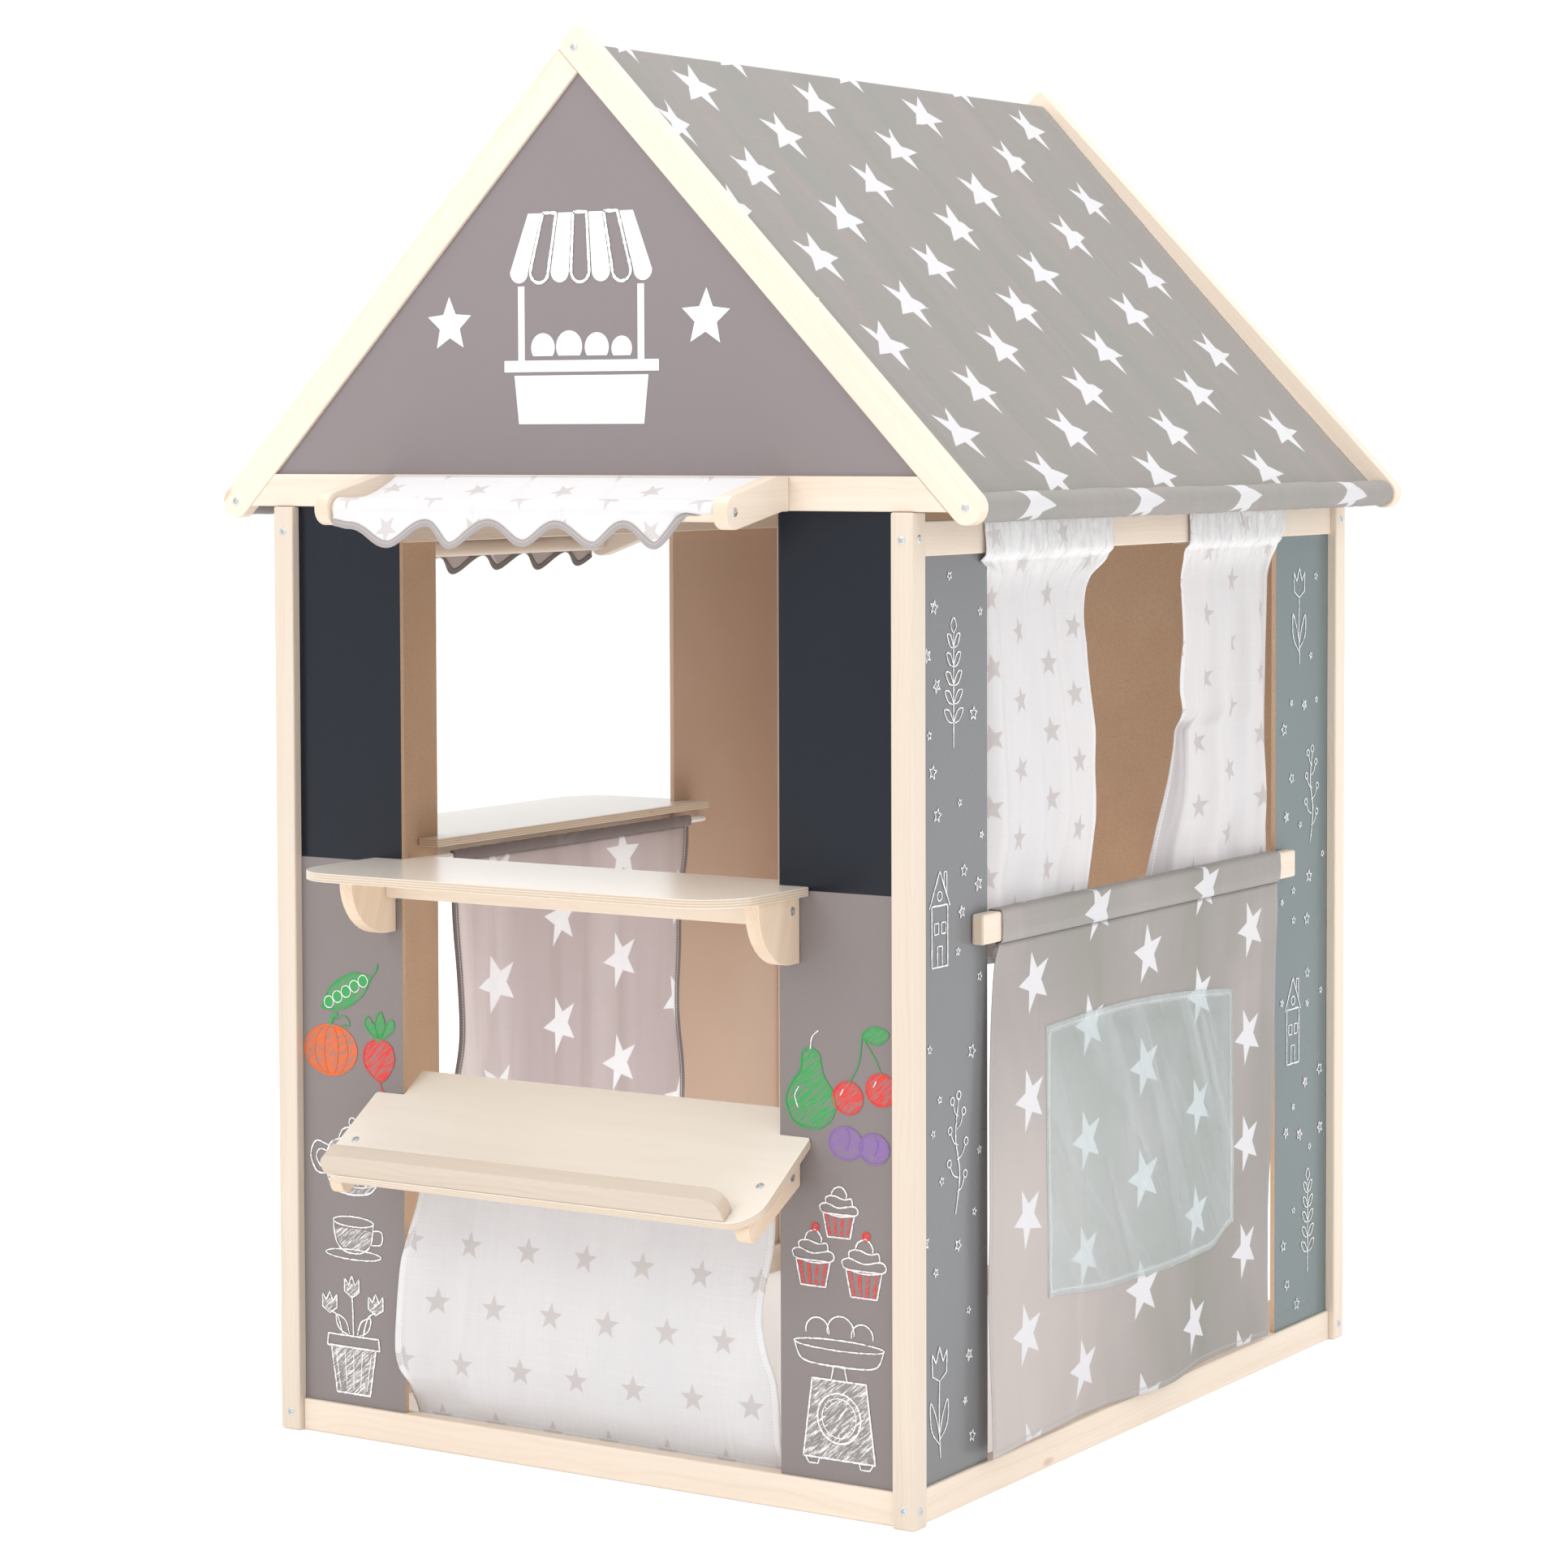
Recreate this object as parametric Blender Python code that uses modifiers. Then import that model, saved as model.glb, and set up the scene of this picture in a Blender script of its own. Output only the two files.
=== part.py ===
"""Play shop stand: a small gabled stall of grooved softwood posts and rails with
thin panels, a counter, a sloping display shelf, a side counter, two awnings,
curtains and a fabric door flap.  Metres, +Z up, front towards -Y.

The stall is drawn about the middle of its four posts.  Everything hangs from
one empty that puts the origin at the bottom centre of the whole outline.
"""
import math

import bmesh
import bpy
from mathutils import Matrix, Vector

# ------------------------------------------------------------------ dimensions
WIDTH = 0.876            # over the outer faces of the posts, X
DEPTH = 1.110            # over the outer faces of the posts, Y
POST = 0.028             # square posts
POST_H = 1.100
RAIL_H = 0.037           # bottom rails, 0.5 mm clear of the floor
RAIL_T = 0.020
RAIL_IN = 0.0077         # rails stand back from the posts' outer faces
TOP_LO, TOP_HI = 1.052, 1.090   # side top rails

GAP = 0.0003             # clearance between neighbours
PANEL_T = 0.006
PANEL_IN = 0.0125        # panel's outer face behind the posts' outer faces
GROOVE = 0.005           # how far a panel sits in its groove

FRONT_OPEN = 0.2605      # half width of the front opening
DOOR_Y0, DOOR_Y1 = -0.3715, 0.3720
SIDE_Y0, SIDE_Y1 = -0.2640, 0.2650

GABLE_T = 0.018
GABLE_IN = 0.005
BAR_H = 0.038            # gable boards' height
BASE_LO = 1.1005
EAVE_X, EAVE_Z = 0.4995, 1.1055
APEX_Z = 1.6175
APEX_RUN = 0.021         # the right rafter runs on past the apex
BOARD_T = 0.005
RIDGE_D, RIDGE_Z = 0.018, 1.6120
EAVE_D = 0.025

PLY = 0.010
COUNTER_TOP = 0.690
COUNTER_FRONT = -0.712
COUNTER_BACK = -0.4985
COUNTER_HALF = 0.300
CORNER_R = 0.065         # counter's front corners
DISPLAY_R = 0.038        # display shelf's front corners
BRACKET_X0, BRACKET_X1 = 0.269, 0.287

SLOPE = math.radians(33.0)       # display shelf
SLOPE_Y, SLOPE_Z = -0.5425, 0.4145
SLOPE_FRONT, SLOPE_BACK = 0.1435, -0.0423

SIDE_TOP = 0.686
SIDE_OUT = -0.595
SIDE_IN = -0.3875

AWN_HALF = 0.2793
AWN_T = 0.018
AWN_Y, AWN_Z, AWN_R = -0.657, 1.101, 0.019
AWN_D = 0.022
SAWN_X, SAWN_Z = -0.537, 1.037

WIRE_D = 0.008
FROD_Y, FROD_Z = -0.519, 0.392
SROD_X, SROD_Z = -0.4045, 0.6600

BARX0, BARX1 = 0.4258, 0.4418
BARZ0, BARZ1 = 0.620, 0.654
BAR_Y0, BAR_Y1 = -0.408, 0.398

CLOTH = 0.0016

HX, HY = WIDTH / 2, DEPTH / 2
SHIFT = Vector((-(SIDE_OUT + EAVE_X + BAR_H / 2) / 2, -(COUNTER_FRONT + HY) / 2, 0.0))

# ------------------------------------------------------------------ clean start
for ob in list(bpy.data.objects):
    bpy.data.objects.remove(ob, do_unlink=True)

PARTS = bpy.data.collections.new("play_shop_stand")
CUTTERS = bpy.data.collections.new("cutters")
bpy.context.scene.collection.children.link(PARTS)
bpy.context.scene.collection.children.link(CUTTERS)

ROOT = bpy.data.objects.new("stall_origin", None)
ROOT.location = SHIFT
PARTS.objects.link(ROOT)


# ------------------------------------------------------------------ materials
def material(name, colour, rough, metal=0.0):
    mat = bpy.data.materials.new(name)
    mat.use_nodes = True
    bsdf = mat.node_tree.nodes["Principled BSDF"]
    bsdf.inputs["Base Color"].default_value = (*colour, 1.0)
    bsdf.inputs["Roughness"].default_value = rough
    bsdf.inputs["Metallic"].default_value = metal
    mat.diffuse_color = (*colour, 1.0)
    return mat


WOOD = (0.87, 0.76, 0.62)
PLYWOOD = (0.86, 0.76, 0.61)
GREY = (0.33, 0.29, 0.29)
TEAL = (0.22, 0.26, 0.26)
TAN = (0.46, 0.30, 0.18)
CLOTH_GREY = (0.47, 0.44, 0.42)
CLOTH_WHITE = (0.88, 0.87, 0.88)


# ------------------------------------------------------------------ helpers
def finish(ob, colour, rough=0.55, metal=0.0, bevel=0.0, segments=2):
    """Link, give it its material, and round its arrises."""
    ob.data.materials.clear()
    ob.data.materials.append(material(ob.name + "_finish", colour, rough, metal))
    ob.parent = ROOT
    if bevel:
        mod = ob.modifiers.new("arris", 'BEVEL')
        mod.width = bevel
        mod.segments = segments
        mod.limit_method = 'ANGLE'
        mod.angle_limit = math.radians(50)
    return ob


def new_object(name, mesh, collection=PARTS):
    ob = bpy.data.objects.new(name, mesh)
    collection.objects.link(ob)
    return ob


def box_mesh(name, lo, hi, origin):
    bm = bmesh.new()
    bmesh.ops.create_cube(bm, size=1.0)
    lo, hi, origin = Vector(lo), Vector(hi), Vector(origin)
    size, mid = hi - lo, (hi + lo) / 2 - origin
    for v in bm.verts:
        v.co = Vector((v.co.x * size.x, v.co.y * size.y, v.co.z * size.z)) + mid
    me = bpy.data.meshes.new(name)
    bm.to_mesh(me)
    bm.free()
    return me


def box(name, lo, hi, colour, rough=0.55, bevel=0.0015, origin=None):
    lo2 = [min(a, b) for a, b in zip(lo, hi)]
    hi2 = [max(a, b) for a, b in zip(lo, hi)]
    origin = origin or [(a + b) / 2 for a, b in zip(lo2, hi2)]
    ob = new_object(name, box_mesh(name, lo2, hi2, origin))
    ob.location = origin
    return finish(ob, colour, rough, bevel=bevel)


def cutter(name, lo, hi):
    lo2 = [min(a, b) for a, b in zip(lo, hi)]
    hi2 = [max(a, b) for a, b in zip(lo, hi)]
    ob = new_object(name, box_mesh(name, lo2, hi2, (0, 0, 0)), CUTTERS)
    ob.parent = ROOT
    ob.hide_render = True
    ob.display_type = 'WIRE'
    return ob


def cut(ob, *tools):
    for tool in tools:
        mod = ob.modifiers.new("groove", 'BOOLEAN')
        mod.operation = 'DIFFERENCE'
        mod.solver = 'EXACT'
        mod.object = tool


def rod(name, p0, p1, diameter, colour, rough=0.5, metal=0.0, verts=32, bevel=0.001):
    p0, p1 = Vector(p0), Vector(p1)
    bm = bmesh.new()
    bmesh.ops.create_cone(bm, cap_ends=True, segments=verts, radius1=diameter / 2,
                          radius2=diameter / 2, depth=(p1 - p0).length)
    me = bpy.data.meshes.new(name)
    bm.to_mesh(me)
    bm.free()
    me.shade_smooth()
    me.set_sharp_from_angle(angle=math.radians(40))
    ob = new_object(name, me)
    ob.rotation_euler = (p1 - p0).to_track_quat('Z', 'Y').to_euler()
    ob.location = (p0 + p1) / 2
    return finish(ob, colour, rough, metal, bevel=bevel)


def fillet(points, radii, steps=6):
    """Round the corners of a closed polygon: one radius for each corner."""
    out = []
    n = len(points)
    for i in range(n):
        p = Vector(points[i])
        r = radii[i]
        if r <= 0:
            out.append(p)
            continue
        a = (Vector(points[i - 1]) - p).normalized()
        b = (Vector(points[(i + 1) % n]) - p).normalized()
        half = a.angle(b) / 2
        centre = p + (a + b).normalized() * (r / math.sin(half))
        start = p + a * (r / math.tan(half)) - centre
        end = p + b * (r / math.tan(half)) - centre
        turn = start.angle_signed(end)
        for k in range(steps + 1):
            ang = turn * k / steps
            c, s = math.cos(-ang), math.sin(-ang)
            out.append(centre + Vector((start.x * c - start.y * s, start.x * s + start.y * c)))
    return out


PLANES = {'XY': Matrix.Identity(4),
          'XZ': Matrix(((1, 0, 0, 0), (0, 0, -1, 0), (0, 1, 0, 0), (0, 0, 0, 1))),
          'YZ': Matrix(((0, 0, 1, 0), (1, 0, 0, 0), (0, 1, 0, 0), (0, 0, 0, 1)))}


def outline(name, points, plane, a, b, colour, rough=0.55, bevel=0.0012,
            collection=PARTS, turn=None, at=(0, 0, 0)):
    """A flat outline filled and extruded from a to b across its plane."""
    curve = bpy.data.curves.new(name, 'CURVE')
    curve.dimensions = '2D'
    curve.fill_mode = 'BOTH'
    curve.extrude = abs(b - a) / 2
    spline = curve.splines.new('POLY')
    spline.points.add(len(points) - 1)
    for sp, p in zip(spline.points, points):
        sp.co = (p[0], p[1], 0, 1)
    spline.use_cyclic_u = True
    tmp = bpy.data.objects.new(name + "_curve", curve)
    PARTS.objects.link(tmp)
    deps = bpy.context.evaluated_depsgraph_get()
    me = bpy.data.meshes.new_from_object(tmp.evaluated_get(deps))
    bpy.data.objects.remove(tmp, do_unlink=True)
    bm = bmesh.new()
    bm.from_mesh(me)
    bmesh.ops.remove_doubles(bm, verts=bm.verts, dist=1e-6)
    bmesh.ops.dissolve_limit(bm, angle_limit=math.radians(0.5), verts=bm.verts, edges=bm.edges)
    bmesh.ops.recalc_face_normals(bm, faces=bm.faces)
    bm.to_mesh(me)
    bm.free()
    me.name = name
    ob = new_object(name, me, collection)
    mid = (a + b) / 2
    base = PLANES[plane]
    if plane == 'XY':
        base = Matrix.Translation((0, 0, mid)) @ base
    elif plane == 'XZ':
        base = Matrix.Translation((0, mid, 0)) @ base
    else:
        base = Matrix.Translation((mid, 0, 0)) @ base
    if turn is not None:
        base = Matrix.Translation(at) @ turn @ base
    ob.matrix_world = base
    me.shade_smooth()
    me.set_sharp_from_angle(angle=math.radians(40))
    if collection is CUTTERS:
        ob.parent = ROOT
        ob.hide_render = True
        ob.display_type = 'WIRE'
        return ob
    return finish(ob, colour, rough, bevel=bevel)


def cloth_grid(name, rows, thickness, colour, origin=(0, 0, 0), rough=0.9):
    """An open surface lofted through equal rows of points, then thickened."""
    bm = bmesh.new()
    o = Vector(origin)
    grid = [[bm.verts.new(Vector(p) - o) for p in row] for row in rows]
    for r0, r1 in zip(grid, grid[1:]):
        for k in range(len(r0) - 1):
            bm.faces.new((r0[k], r0[k + 1], r1[k + 1], r1[k]))
    bmesh.ops.recalc_face_normals(bm, faces=bm.faces)
    me = bpy.data.meshes.new(name)
    bm.to_mesh(me)
    bm.free()
    me.shade_smooth()
    me.set_sharp_from_angle(angle=math.radians(40))
    ob = new_object(name, me)
    ob.location = origin
    mod = ob.modifiers.new("cloth", 'SOLIDIFY')
    mod.thickness = thickness
    mod.offset = 0.0
    mod.use_even_offset = True
    return finish(ob, colour, rough)


def extruded_sheet(name, section, axis, stations, thickness, colour, origin=(0, 0, 0)):
    """A section polyline swept along X or Y through the given stations."""
    rows = []
    for s in stations:
        if axis == 'X':
            rows.append([(s, p[0], p[1]) for p in section])
        else:
            rows.append([(p[0], s, p[1]) for p in section])
    return cloth_grid(name, rows, thickness, colour, origin)


def arc(centre, radius, a0, a1, n):
    return [(centre[0] + radius * math.cos(a0 + (a1 - a0) * k / n),
             centre[1] + radius * math.sin(a0 + (a1 - a0) * k / n)) for k in range(n + 1)]


# ------------------------------------------------------------------ posts
PX0, PY0 = HX - POST, HY - POST
posts = {}
for fb, sy in (("front", -1), ("rear", 1)):
    for lr, sx in (("left", -1), ("right", 1)):
        posts[fb, lr] = box(f"post_{fb}_{lr}", (sx * PX0, sy * PY0, 0), (sx * HX, sy * HY, POST_H),
                            WOOD, bevel=0.002)

# ------------------------------------------------------------------ panels
PY = HY - PANEL_IN           # outer face of the front and back panels
PXW = HX - PANEL_IN          # outer face of the side panels
P_LO = 0.0325
BACK_LO = 0.4780      # the back board stops here; below it the back is open
F_HI = BASE_LO + 0.006
S_HI = TOP_LO + GROOVE

panels, seats = {}, {}


def panel(name, lo, hi, colour, rough):
    panels[name] = box(name, lo, hi, colour, rough, bevel=0.0)
    g = GAP
    lo2 = [min(a, b) for a, b in zip(lo, hi)]
    hi2 = [max(a, b) for a, b in zip(lo, hi)]
    seats[name] = cutter("seat_" + name, [c - g for c in lo2], [c + g for c in hi2])


panel("panel_front_left", (-FRONT_OPEN, -PY, P_LO), (-PX0 - GROOVE, -PY + PANEL_T, F_HI), GREY, 0.35)
panel("panel_front_right", (FRONT_OPEN, -PY, P_LO), (PX0 + GROOVE, -PY + PANEL_T, F_HI), GREY, 0.35)
panel("panel_back", (-PX0 - GROOVE, PY - PANEL_T, BACK_LO), (PX0 + GROOVE, PY, F_HI), TAN, 0.6)
panel("panel_door_front", (PXW - PANEL_T, -PY0 - GROOVE, P_LO), (PXW, DOOR_Y0, S_HI), TEAL, 0.35)
panel("panel_door_rear", (PXW - PANEL_T, DOOR_Y1, P_LO), (PXW, PY0 + GROOVE, S_HI), TEAL, 0.35)
panel("panel_side_front", (-PXW, -PY0 - GROOVE, P_LO), (-PXW + PANEL_T, SIDE_Y0, S_HI), TAN, 0.6)
panel("panel_side_rear", (-PXW, SIDE_Y1, P_LO), (-PXW + PANEL_T, PY0 + GROOVE, S_HI), TAN, 0.6)

cut(posts["front", "left"], seats["panel_front_left"], seats["panel_side_front"])
cut(posts["front", "right"], seats["panel_front_right"], seats["panel_door_front"])
cut(posts["rear", "left"], seats["panel_back"], seats["panel_side_rear"])
cut(posts["rear", "right"], seats["panel_back"], seats["panel_door_rear"])

# ------------------------------------------------------------------ rails
rx, ry = PX0 - GAP, PY0 - GAP
RY = HY - RAIL_IN
RX = HX - RAIL_IN
rail_front = box("rail_front", (-rx, -RY, 0.0005), (rx, -RY + RAIL_T, 0.0005 + RAIL_H), WOOD)
rail_back = box("rail_back", (-rx, RY - RAIL_T, 0.0005), (rx, RY, 0.0005 + RAIL_H), WOOD)
rail_door = box("rail_door_side", (RX - RAIL_T, -ry, 0.0005), (RX, ry, 0.0005 + RAIL_H), WOOD)
rail_side = box("rail_left_side", (-RX, -ry, 0.0005), (-RX + RAIL_T, ry, 0.0005 + RAIL_H), WOOD)
top_door = box("top_rail_door_side", (RX - RAIL_T, -ry, TOP_LO), (RX, ry, TOP_HI), WOOD)
top_side = box("top_rail_left_side", (-RX, -ry, TOP_LO), (-RX + RAIL_T, ry, TOP_HI), WOOD)
cut(rail_front, seats["panel_front_left"], seats["panel_front_right"])
cut(rail_back, seats["panel_back"])
cut(rail_door, seats["panel_door_front"], seats["panel_door_rear"])
cut(rail_side, seats["panel_side_front"], seats["panel_side_rear"])
cut(top_door, seats["panel_door_front"], seats["panel_door_rear"])
cut(top_side, seats["panel_side_front"], seats["panel_side_rear"])

# ------------------------------------------------------------------ gables
EAVE = Vector((EAVE_X, EAVE_Z))
UP = (Vector((0.0, APEX_Z)) - EAVE).normalized()       # right rafter, eave to apex
OUT = Vector((-UP.y, UP.x)) * -1                         # its outer normal
RUN = (Vector((0.0, APEX_Z)) - EAVE).length
HALF = BAR_H / 2


def at(run, off, side=1):
    p = EAVE + UP * run + OUT * off
    return (p.x * side, p.y)


def x_on(off, z):
    """x of the line that runs off from the right rafter's axis, at height z"""
    return EAVE.x + (off - OUT.y * (z - EAVE.y)) / OUT.x


lower = [at(HALF * math.cos(t), HALF * math.sin(t)) for t in
         [math.pi / 2 + math.pi * k / 16 for k in range(17)]]
long_rafter = fillet([at(RUN + APEX_RUN, -HALF), at(RUN + APEX_RUN, HALF)], [0, 0])
top_in, top_out = Vector(at(RUN + APEX_RUN, -HALF)), Vector(at(RUN + APEX_RUN, HALF))
right_pts = fillet([lower[-1], tuple(top_in), tuple(top_out), lower[0]], [0, 0.008, 0.008, 0], 5)
right_pts = [Vector(p) for p in lower[1:-1]] + right_pts
# the left rafter stops against the inner edge of the right one


def butt(off):
    m = Vector((-OUT.x, OUT.y))
    v = Vector((-UP.x, UP.y))
    start = Vector((-EAVE.x, EAVE.y)) + m * off
    s = (-(HALF + GAP) - OUT.dot(start - EAVE)) / OUT.dot(v)
    return start + v * s


left_pts = [Vector((-p[0], p[1])) for p in lower[::-1]] + [butt(HALF), butt(-HALF)]

BOARD_IN = HALF - GROOVE
board_pts = [(-x_on(-BOARD_IN, BASE_LO + BAR_H - GROOVE), BASE_LO + BAR_H - GROOVE),
             (x_on(-BOARD_IN, BASE_LO + BAR_H - GROOVE), BASE_LO + BAR_H - GROOVE),
             (0.0, EAVE.y + (-BOARD_IN + OUT.x * EAVE.x) / OUT.y)]
g2 = GROOVE + 0.0005
seat_in = HALF - g2
z2 = BASE_LO + BAR_H - g2
seat_pts = [(-x_on(-seat_in, z2), z2), (x_on(-seat_in, z2), z2),
            (0.0, EAVE.y + (-seat_in + OUT.x * EAVE.x) / OUT.y)]
base_top = BASE_LO + BAR_H
base_pts = [(-x_on(-HALF - GAP, BASE_LO), BASE_LO), (x_on(-HALF - GAP, BASE_LO), BASE_LO),
            (x_on(-HALF - GAP, base_top), base_top), (-x_on(-HALF - GAP, base_top), base_top)]

for fb, sy in (("front", -1), ("rear", 1)):
    y0, y1 = sorted((sy * (HY - GABLE_IN), sy * (HY - GABLE_IN - GABLE_T)))
    b0 = sy * (HY - GABLE_IN - 0.005)
    b1 = b0 - sy * BOARD_T
    b0, b1 = sorted((b0, b1))
    board = outline(f"gable_board_{fb}", board_pts, 'XZ', b0, b1,
                    GREY if fb == "front" else TAN, 0.35, bevel=0.0)
    seat = outline(f"seat_gable_board_{fb}", seat_pts, 'XZ', b0 - GAP, b1 + GAP, GREY,
                   collection=CUTTERS)
    base = outline(f"gable_base_{fb}", base_pts, 'XZ', y0, y1, WOOD)
    right = outline(f"rafter_{fb}_right", right_pts, 'XZ', y0, y1, WOOD)
    left = outline(f"rafter_{fb}_left", left_pts, 'XZ', y0, y1, WOOD)
    cut(right, seat)
    cut(left, seat)
    if fb == "front":
        cut(base, seat, seats["panel_front_left"], seats["panel_front_right"])
    else:
        cut(base, seat, seats["panel_back"])

IN_Y = HY - GABLE_IN - GABLE_T - GAP
rod("ridge_pole", (0, -IN_Y, RIDGE_Z), (0, IN_Y, RIDGE_Z), RIDGE_D, WOOD)
rod("eave_dowel_right", (EAVE_X, -IN_Y, EAVE_Z), (EAVE_X, IN_Y, EAVE_Z), EAVE_D, WOOD)
rod("eave_dowel_left", (-EAVE_X, -IN_Y, EAVE_Z), (-EAVE_X, IN_Y, EAVE_Z), EAVE_D, WOOD)

# ------------------------------------------------------------------ roof cloth
ROOF_T = 0.0026
ROLL_R = EAVE_D / 2 + 0.0014 + ROOF_T / 2
CREST_R = RIDGE_D / 2 + GAP + ROOF_T / 2
meet = Vector((EAVE_X, EAVE_Z)) + UP * math.sqrt(ROLL_R ** 2 - 0.0035 ** 2) - OUT * 0.0035
up_ang = math.atan2(meet.y - EAVE_Z, meet.x - EAVE_X)
roll = arc((EAVE_X, EAVE_Z), ROLL_R, up_ang, up_ang - math.radians(332), 24)
crest_ang = math.atan2(OUT.y, OUT.x)
crest = arc((0, RIDGE_Z), CREST_R, math.pi / 2, crest_ang, 4)
slope_start = Vector(crest[-1])
slope = [tuple(slope_start + (meet - slope_start) * k / 3) for k in range(1, 3)]
half_section = crest + slope + roll
section = [(-p[0], p[1]) for p in half_section[::-1]] + half_section[1:]
extruded_sheet("roof_cloth", section, 'Y', [-0.529, 0.0, 0.529], ROOF_T, CLOTH_GREY)

# ------------------------------------------------------------------ counter
SH = -PY - GAP
EDGE = FRONT_OPEN - 0.0004
counter_pts = fillet(
    [(-COUNTER_HALF, SH), (-COUNTER_HALF, COUNTER_FRONT), (COUNTER_HALF, COUNTER_FRONT),
     (COUNTER_HALF, SH), (EDGE, SH), (EDGE, COUNTER_BACK), (-EDGE, COUNTER_BACK), (-EDGE, SH)],
    [0.004, CORNER_R, CORNER_R, 0.004, 0, 0.003, 0.003, 0], 8)
outline("counter_shelf", counter_pts, 'XY', COUNTER_TOP - PLY, COUNTER_TOP, PLYWOOD, 0.5, bevel=0.0008)

BR_TOP = COUNTER_TOP - PLY - GAP
BR_R = 0.066
bracket = [(SH - GAP, BR_TOP), (SH - GAP, BR_TOP - 0.0745)]
bracket += [(-0.5605 + BR_R * math.cos(t), BR_TOP - 0.0745 + BR_R + BR_R * math.sin(t))
            for t in [-math.pi / 2 - math.pi / 2 * k / 10 for k in range(11)]]
bracket += [(-0.5605 - BR_R, BR_TOP)]
for lr, sx in (("left", -1), ("right", 1)):
    a, b = sorted((sx * BRACKET_X0, sx * BRACKET_X1))
    outline(f"counter_bracket_{lr}", bracket, 'YZ', a, b, WOOD)
APX = BRACKET_X0 - GAP
box("counter_apron", (-APX, SH - GAP - 0.020, BR_TOP - 0.033), (APX, SH - GAP, BR_TOP), WOOD, bevel=0.001)

# ------------------------------------------------------------------ display shelf
# Drawn flat (x, distance down the slope), then tilted about the panel line.
c, s = math.cos(SLOPE), math.sin(SLOPE)
TILT = Matrix(((1, 0, 0, 0), (0, c, -s, 0), (0, s, c, 0), (0, 0, 0, 1)))
HINGE = (0, SLOPE_Y, SLOPE_Z)
shoulder = -GAP / c                      # the seats cut the shoulders upright
display_pts = fillet(
    [(-COUNTER_HALF, shoulder), (-COUNTER_HALF, -SLOPE_FRONT), (COUNTER_HALF, -SLOPE_FRONT),
     (COUNTER_HALF, shoulder), (EDGE, shoulder), (EDGE, -SLOPE_BACK), (-EDGE, -SLOPE_BACK), (-EDGE, shoulder)],
    [0.004, DISPLAY_R, DISPLAY_R, 0.004, 0, 0.003, 0.003, 0], 8)
display = outline("display_shelf", display_pts, 'XY', -PLY, 0.0, PLYWOOD, 0.5, bevel=0.0008,
        turn=TILT, at=HINGE)
cut(display, seats["panel_front_left"], seats["panel_front_right"])
lip = fillet([(-0.284, GAP), (0.264, GAP), (0.264, 0.030), (-0.284, 0.030)], [0, 0, 0.020, 0.020], 8)
outline("display_lip", lip, 'XZ', -SLOPE_FRONT + 0.0015, -SLOPE_FRONT + 0.0215, WOOD,
        turn=TILT, at=HINGE, bevel=0.0010)


def under(y, drop=0.0):
    """height of the display shelf's lower face at y"""
    return SLOPE_Z - PLY / c + math.tan(SLOPE) * (y - SLOPE_Y) - drop


back = SH - GAP
batten = fillet([(back, under(back, GAP * 1.3)), (-0.6525, under(-0.6525, GAP * 1.3)),
                 (-0.6415, 0.3090), (back, 0.3600)], [0, 0.012, 0.010, 0], 6)
for lr, sx in (("left", -1), ("right", 1)):
    a, b = sorted((sx * BRACKET_X0, sx * BRACKET_X1))
    outline(f"display_batten_{lr}", batten, 'YZ', a, b, WOOD)
apron_lo, apron_y = 0.3585, back - 0.018
apron = [(back, apron_lo), (back, under(back, GAP * 1.3)), (apron_y, under(apron_y, GAP * 1.3)), (apron_y, apron_lo)]
outline("display_apron", apron, 'YZ', -APX, APX, WOOD, bevel=0.001)

# ------------------------------------------------------------------ side counter
SX_OUT, SX_IN = -PXW - GAP, -PXW + PANEL_T + GAP
SIDE_HALF = 0.305        # the inner part is a little wider than the outer
side_pts = fillet(
    [(SX_OUT, COUNTER_HALF), (SIDE_OUT, COUNTER_HALF), (SIDE_OUT, -COUNTER_HALF), (SX_OUT, -COUNTER_HALF),
     (SX_OUT, SIDE_Y0 + 0.0004), (SX_IN, SIDE_Y0 + 0.0004), (SX_IN, -SIDE_HALF), (SIDE_IN, -SIDE_HALF),
     (SIDE_IN, SIDE_HALF), (SX_IN, SIDE_HALF), (SX_IN, SIDE_Y1 - 0.0004), (SX_OUT, SIDE_Y1 - 0.0004)],
    [0.004, CORNER_R, CORNER_R, 0.004, 0, 0, 0.002, 0.003, 0.003, 0.002, 0, 0], 6)
outline("side_shelf", side_pts, 'XY', SIDE_TOP - PLY, SIDE_TOP, PLYWOOD, 0.5, bevel=0.0008)
SB_TOP = SIDE_TOP - PLY - GAP
dx, dz = (SX_OUT - GAP) - (SH - GAP), SB_TOP - BR_TOP
side_bracket = [(p[0] + dx, p[1] + dz) for p in bracket]
for fb, sy in (("front", -1), ("rear", 1)):
    a, b = sorted((sy * BRACKET_X0, sy * BRACKET_X1))
    outline(f"side_bracket_{fb}", side_bracket, 'XZ', a, b, WOOD)
box("side_apron", (SX_OUT - GAP - 0.020, -APX, SB_TOP - 0.033), (SX_OUT - GAP, APX, SB_TOP), WOOD, bevel=0.001)

# ------------------------------------------------------------------ awnings


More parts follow.
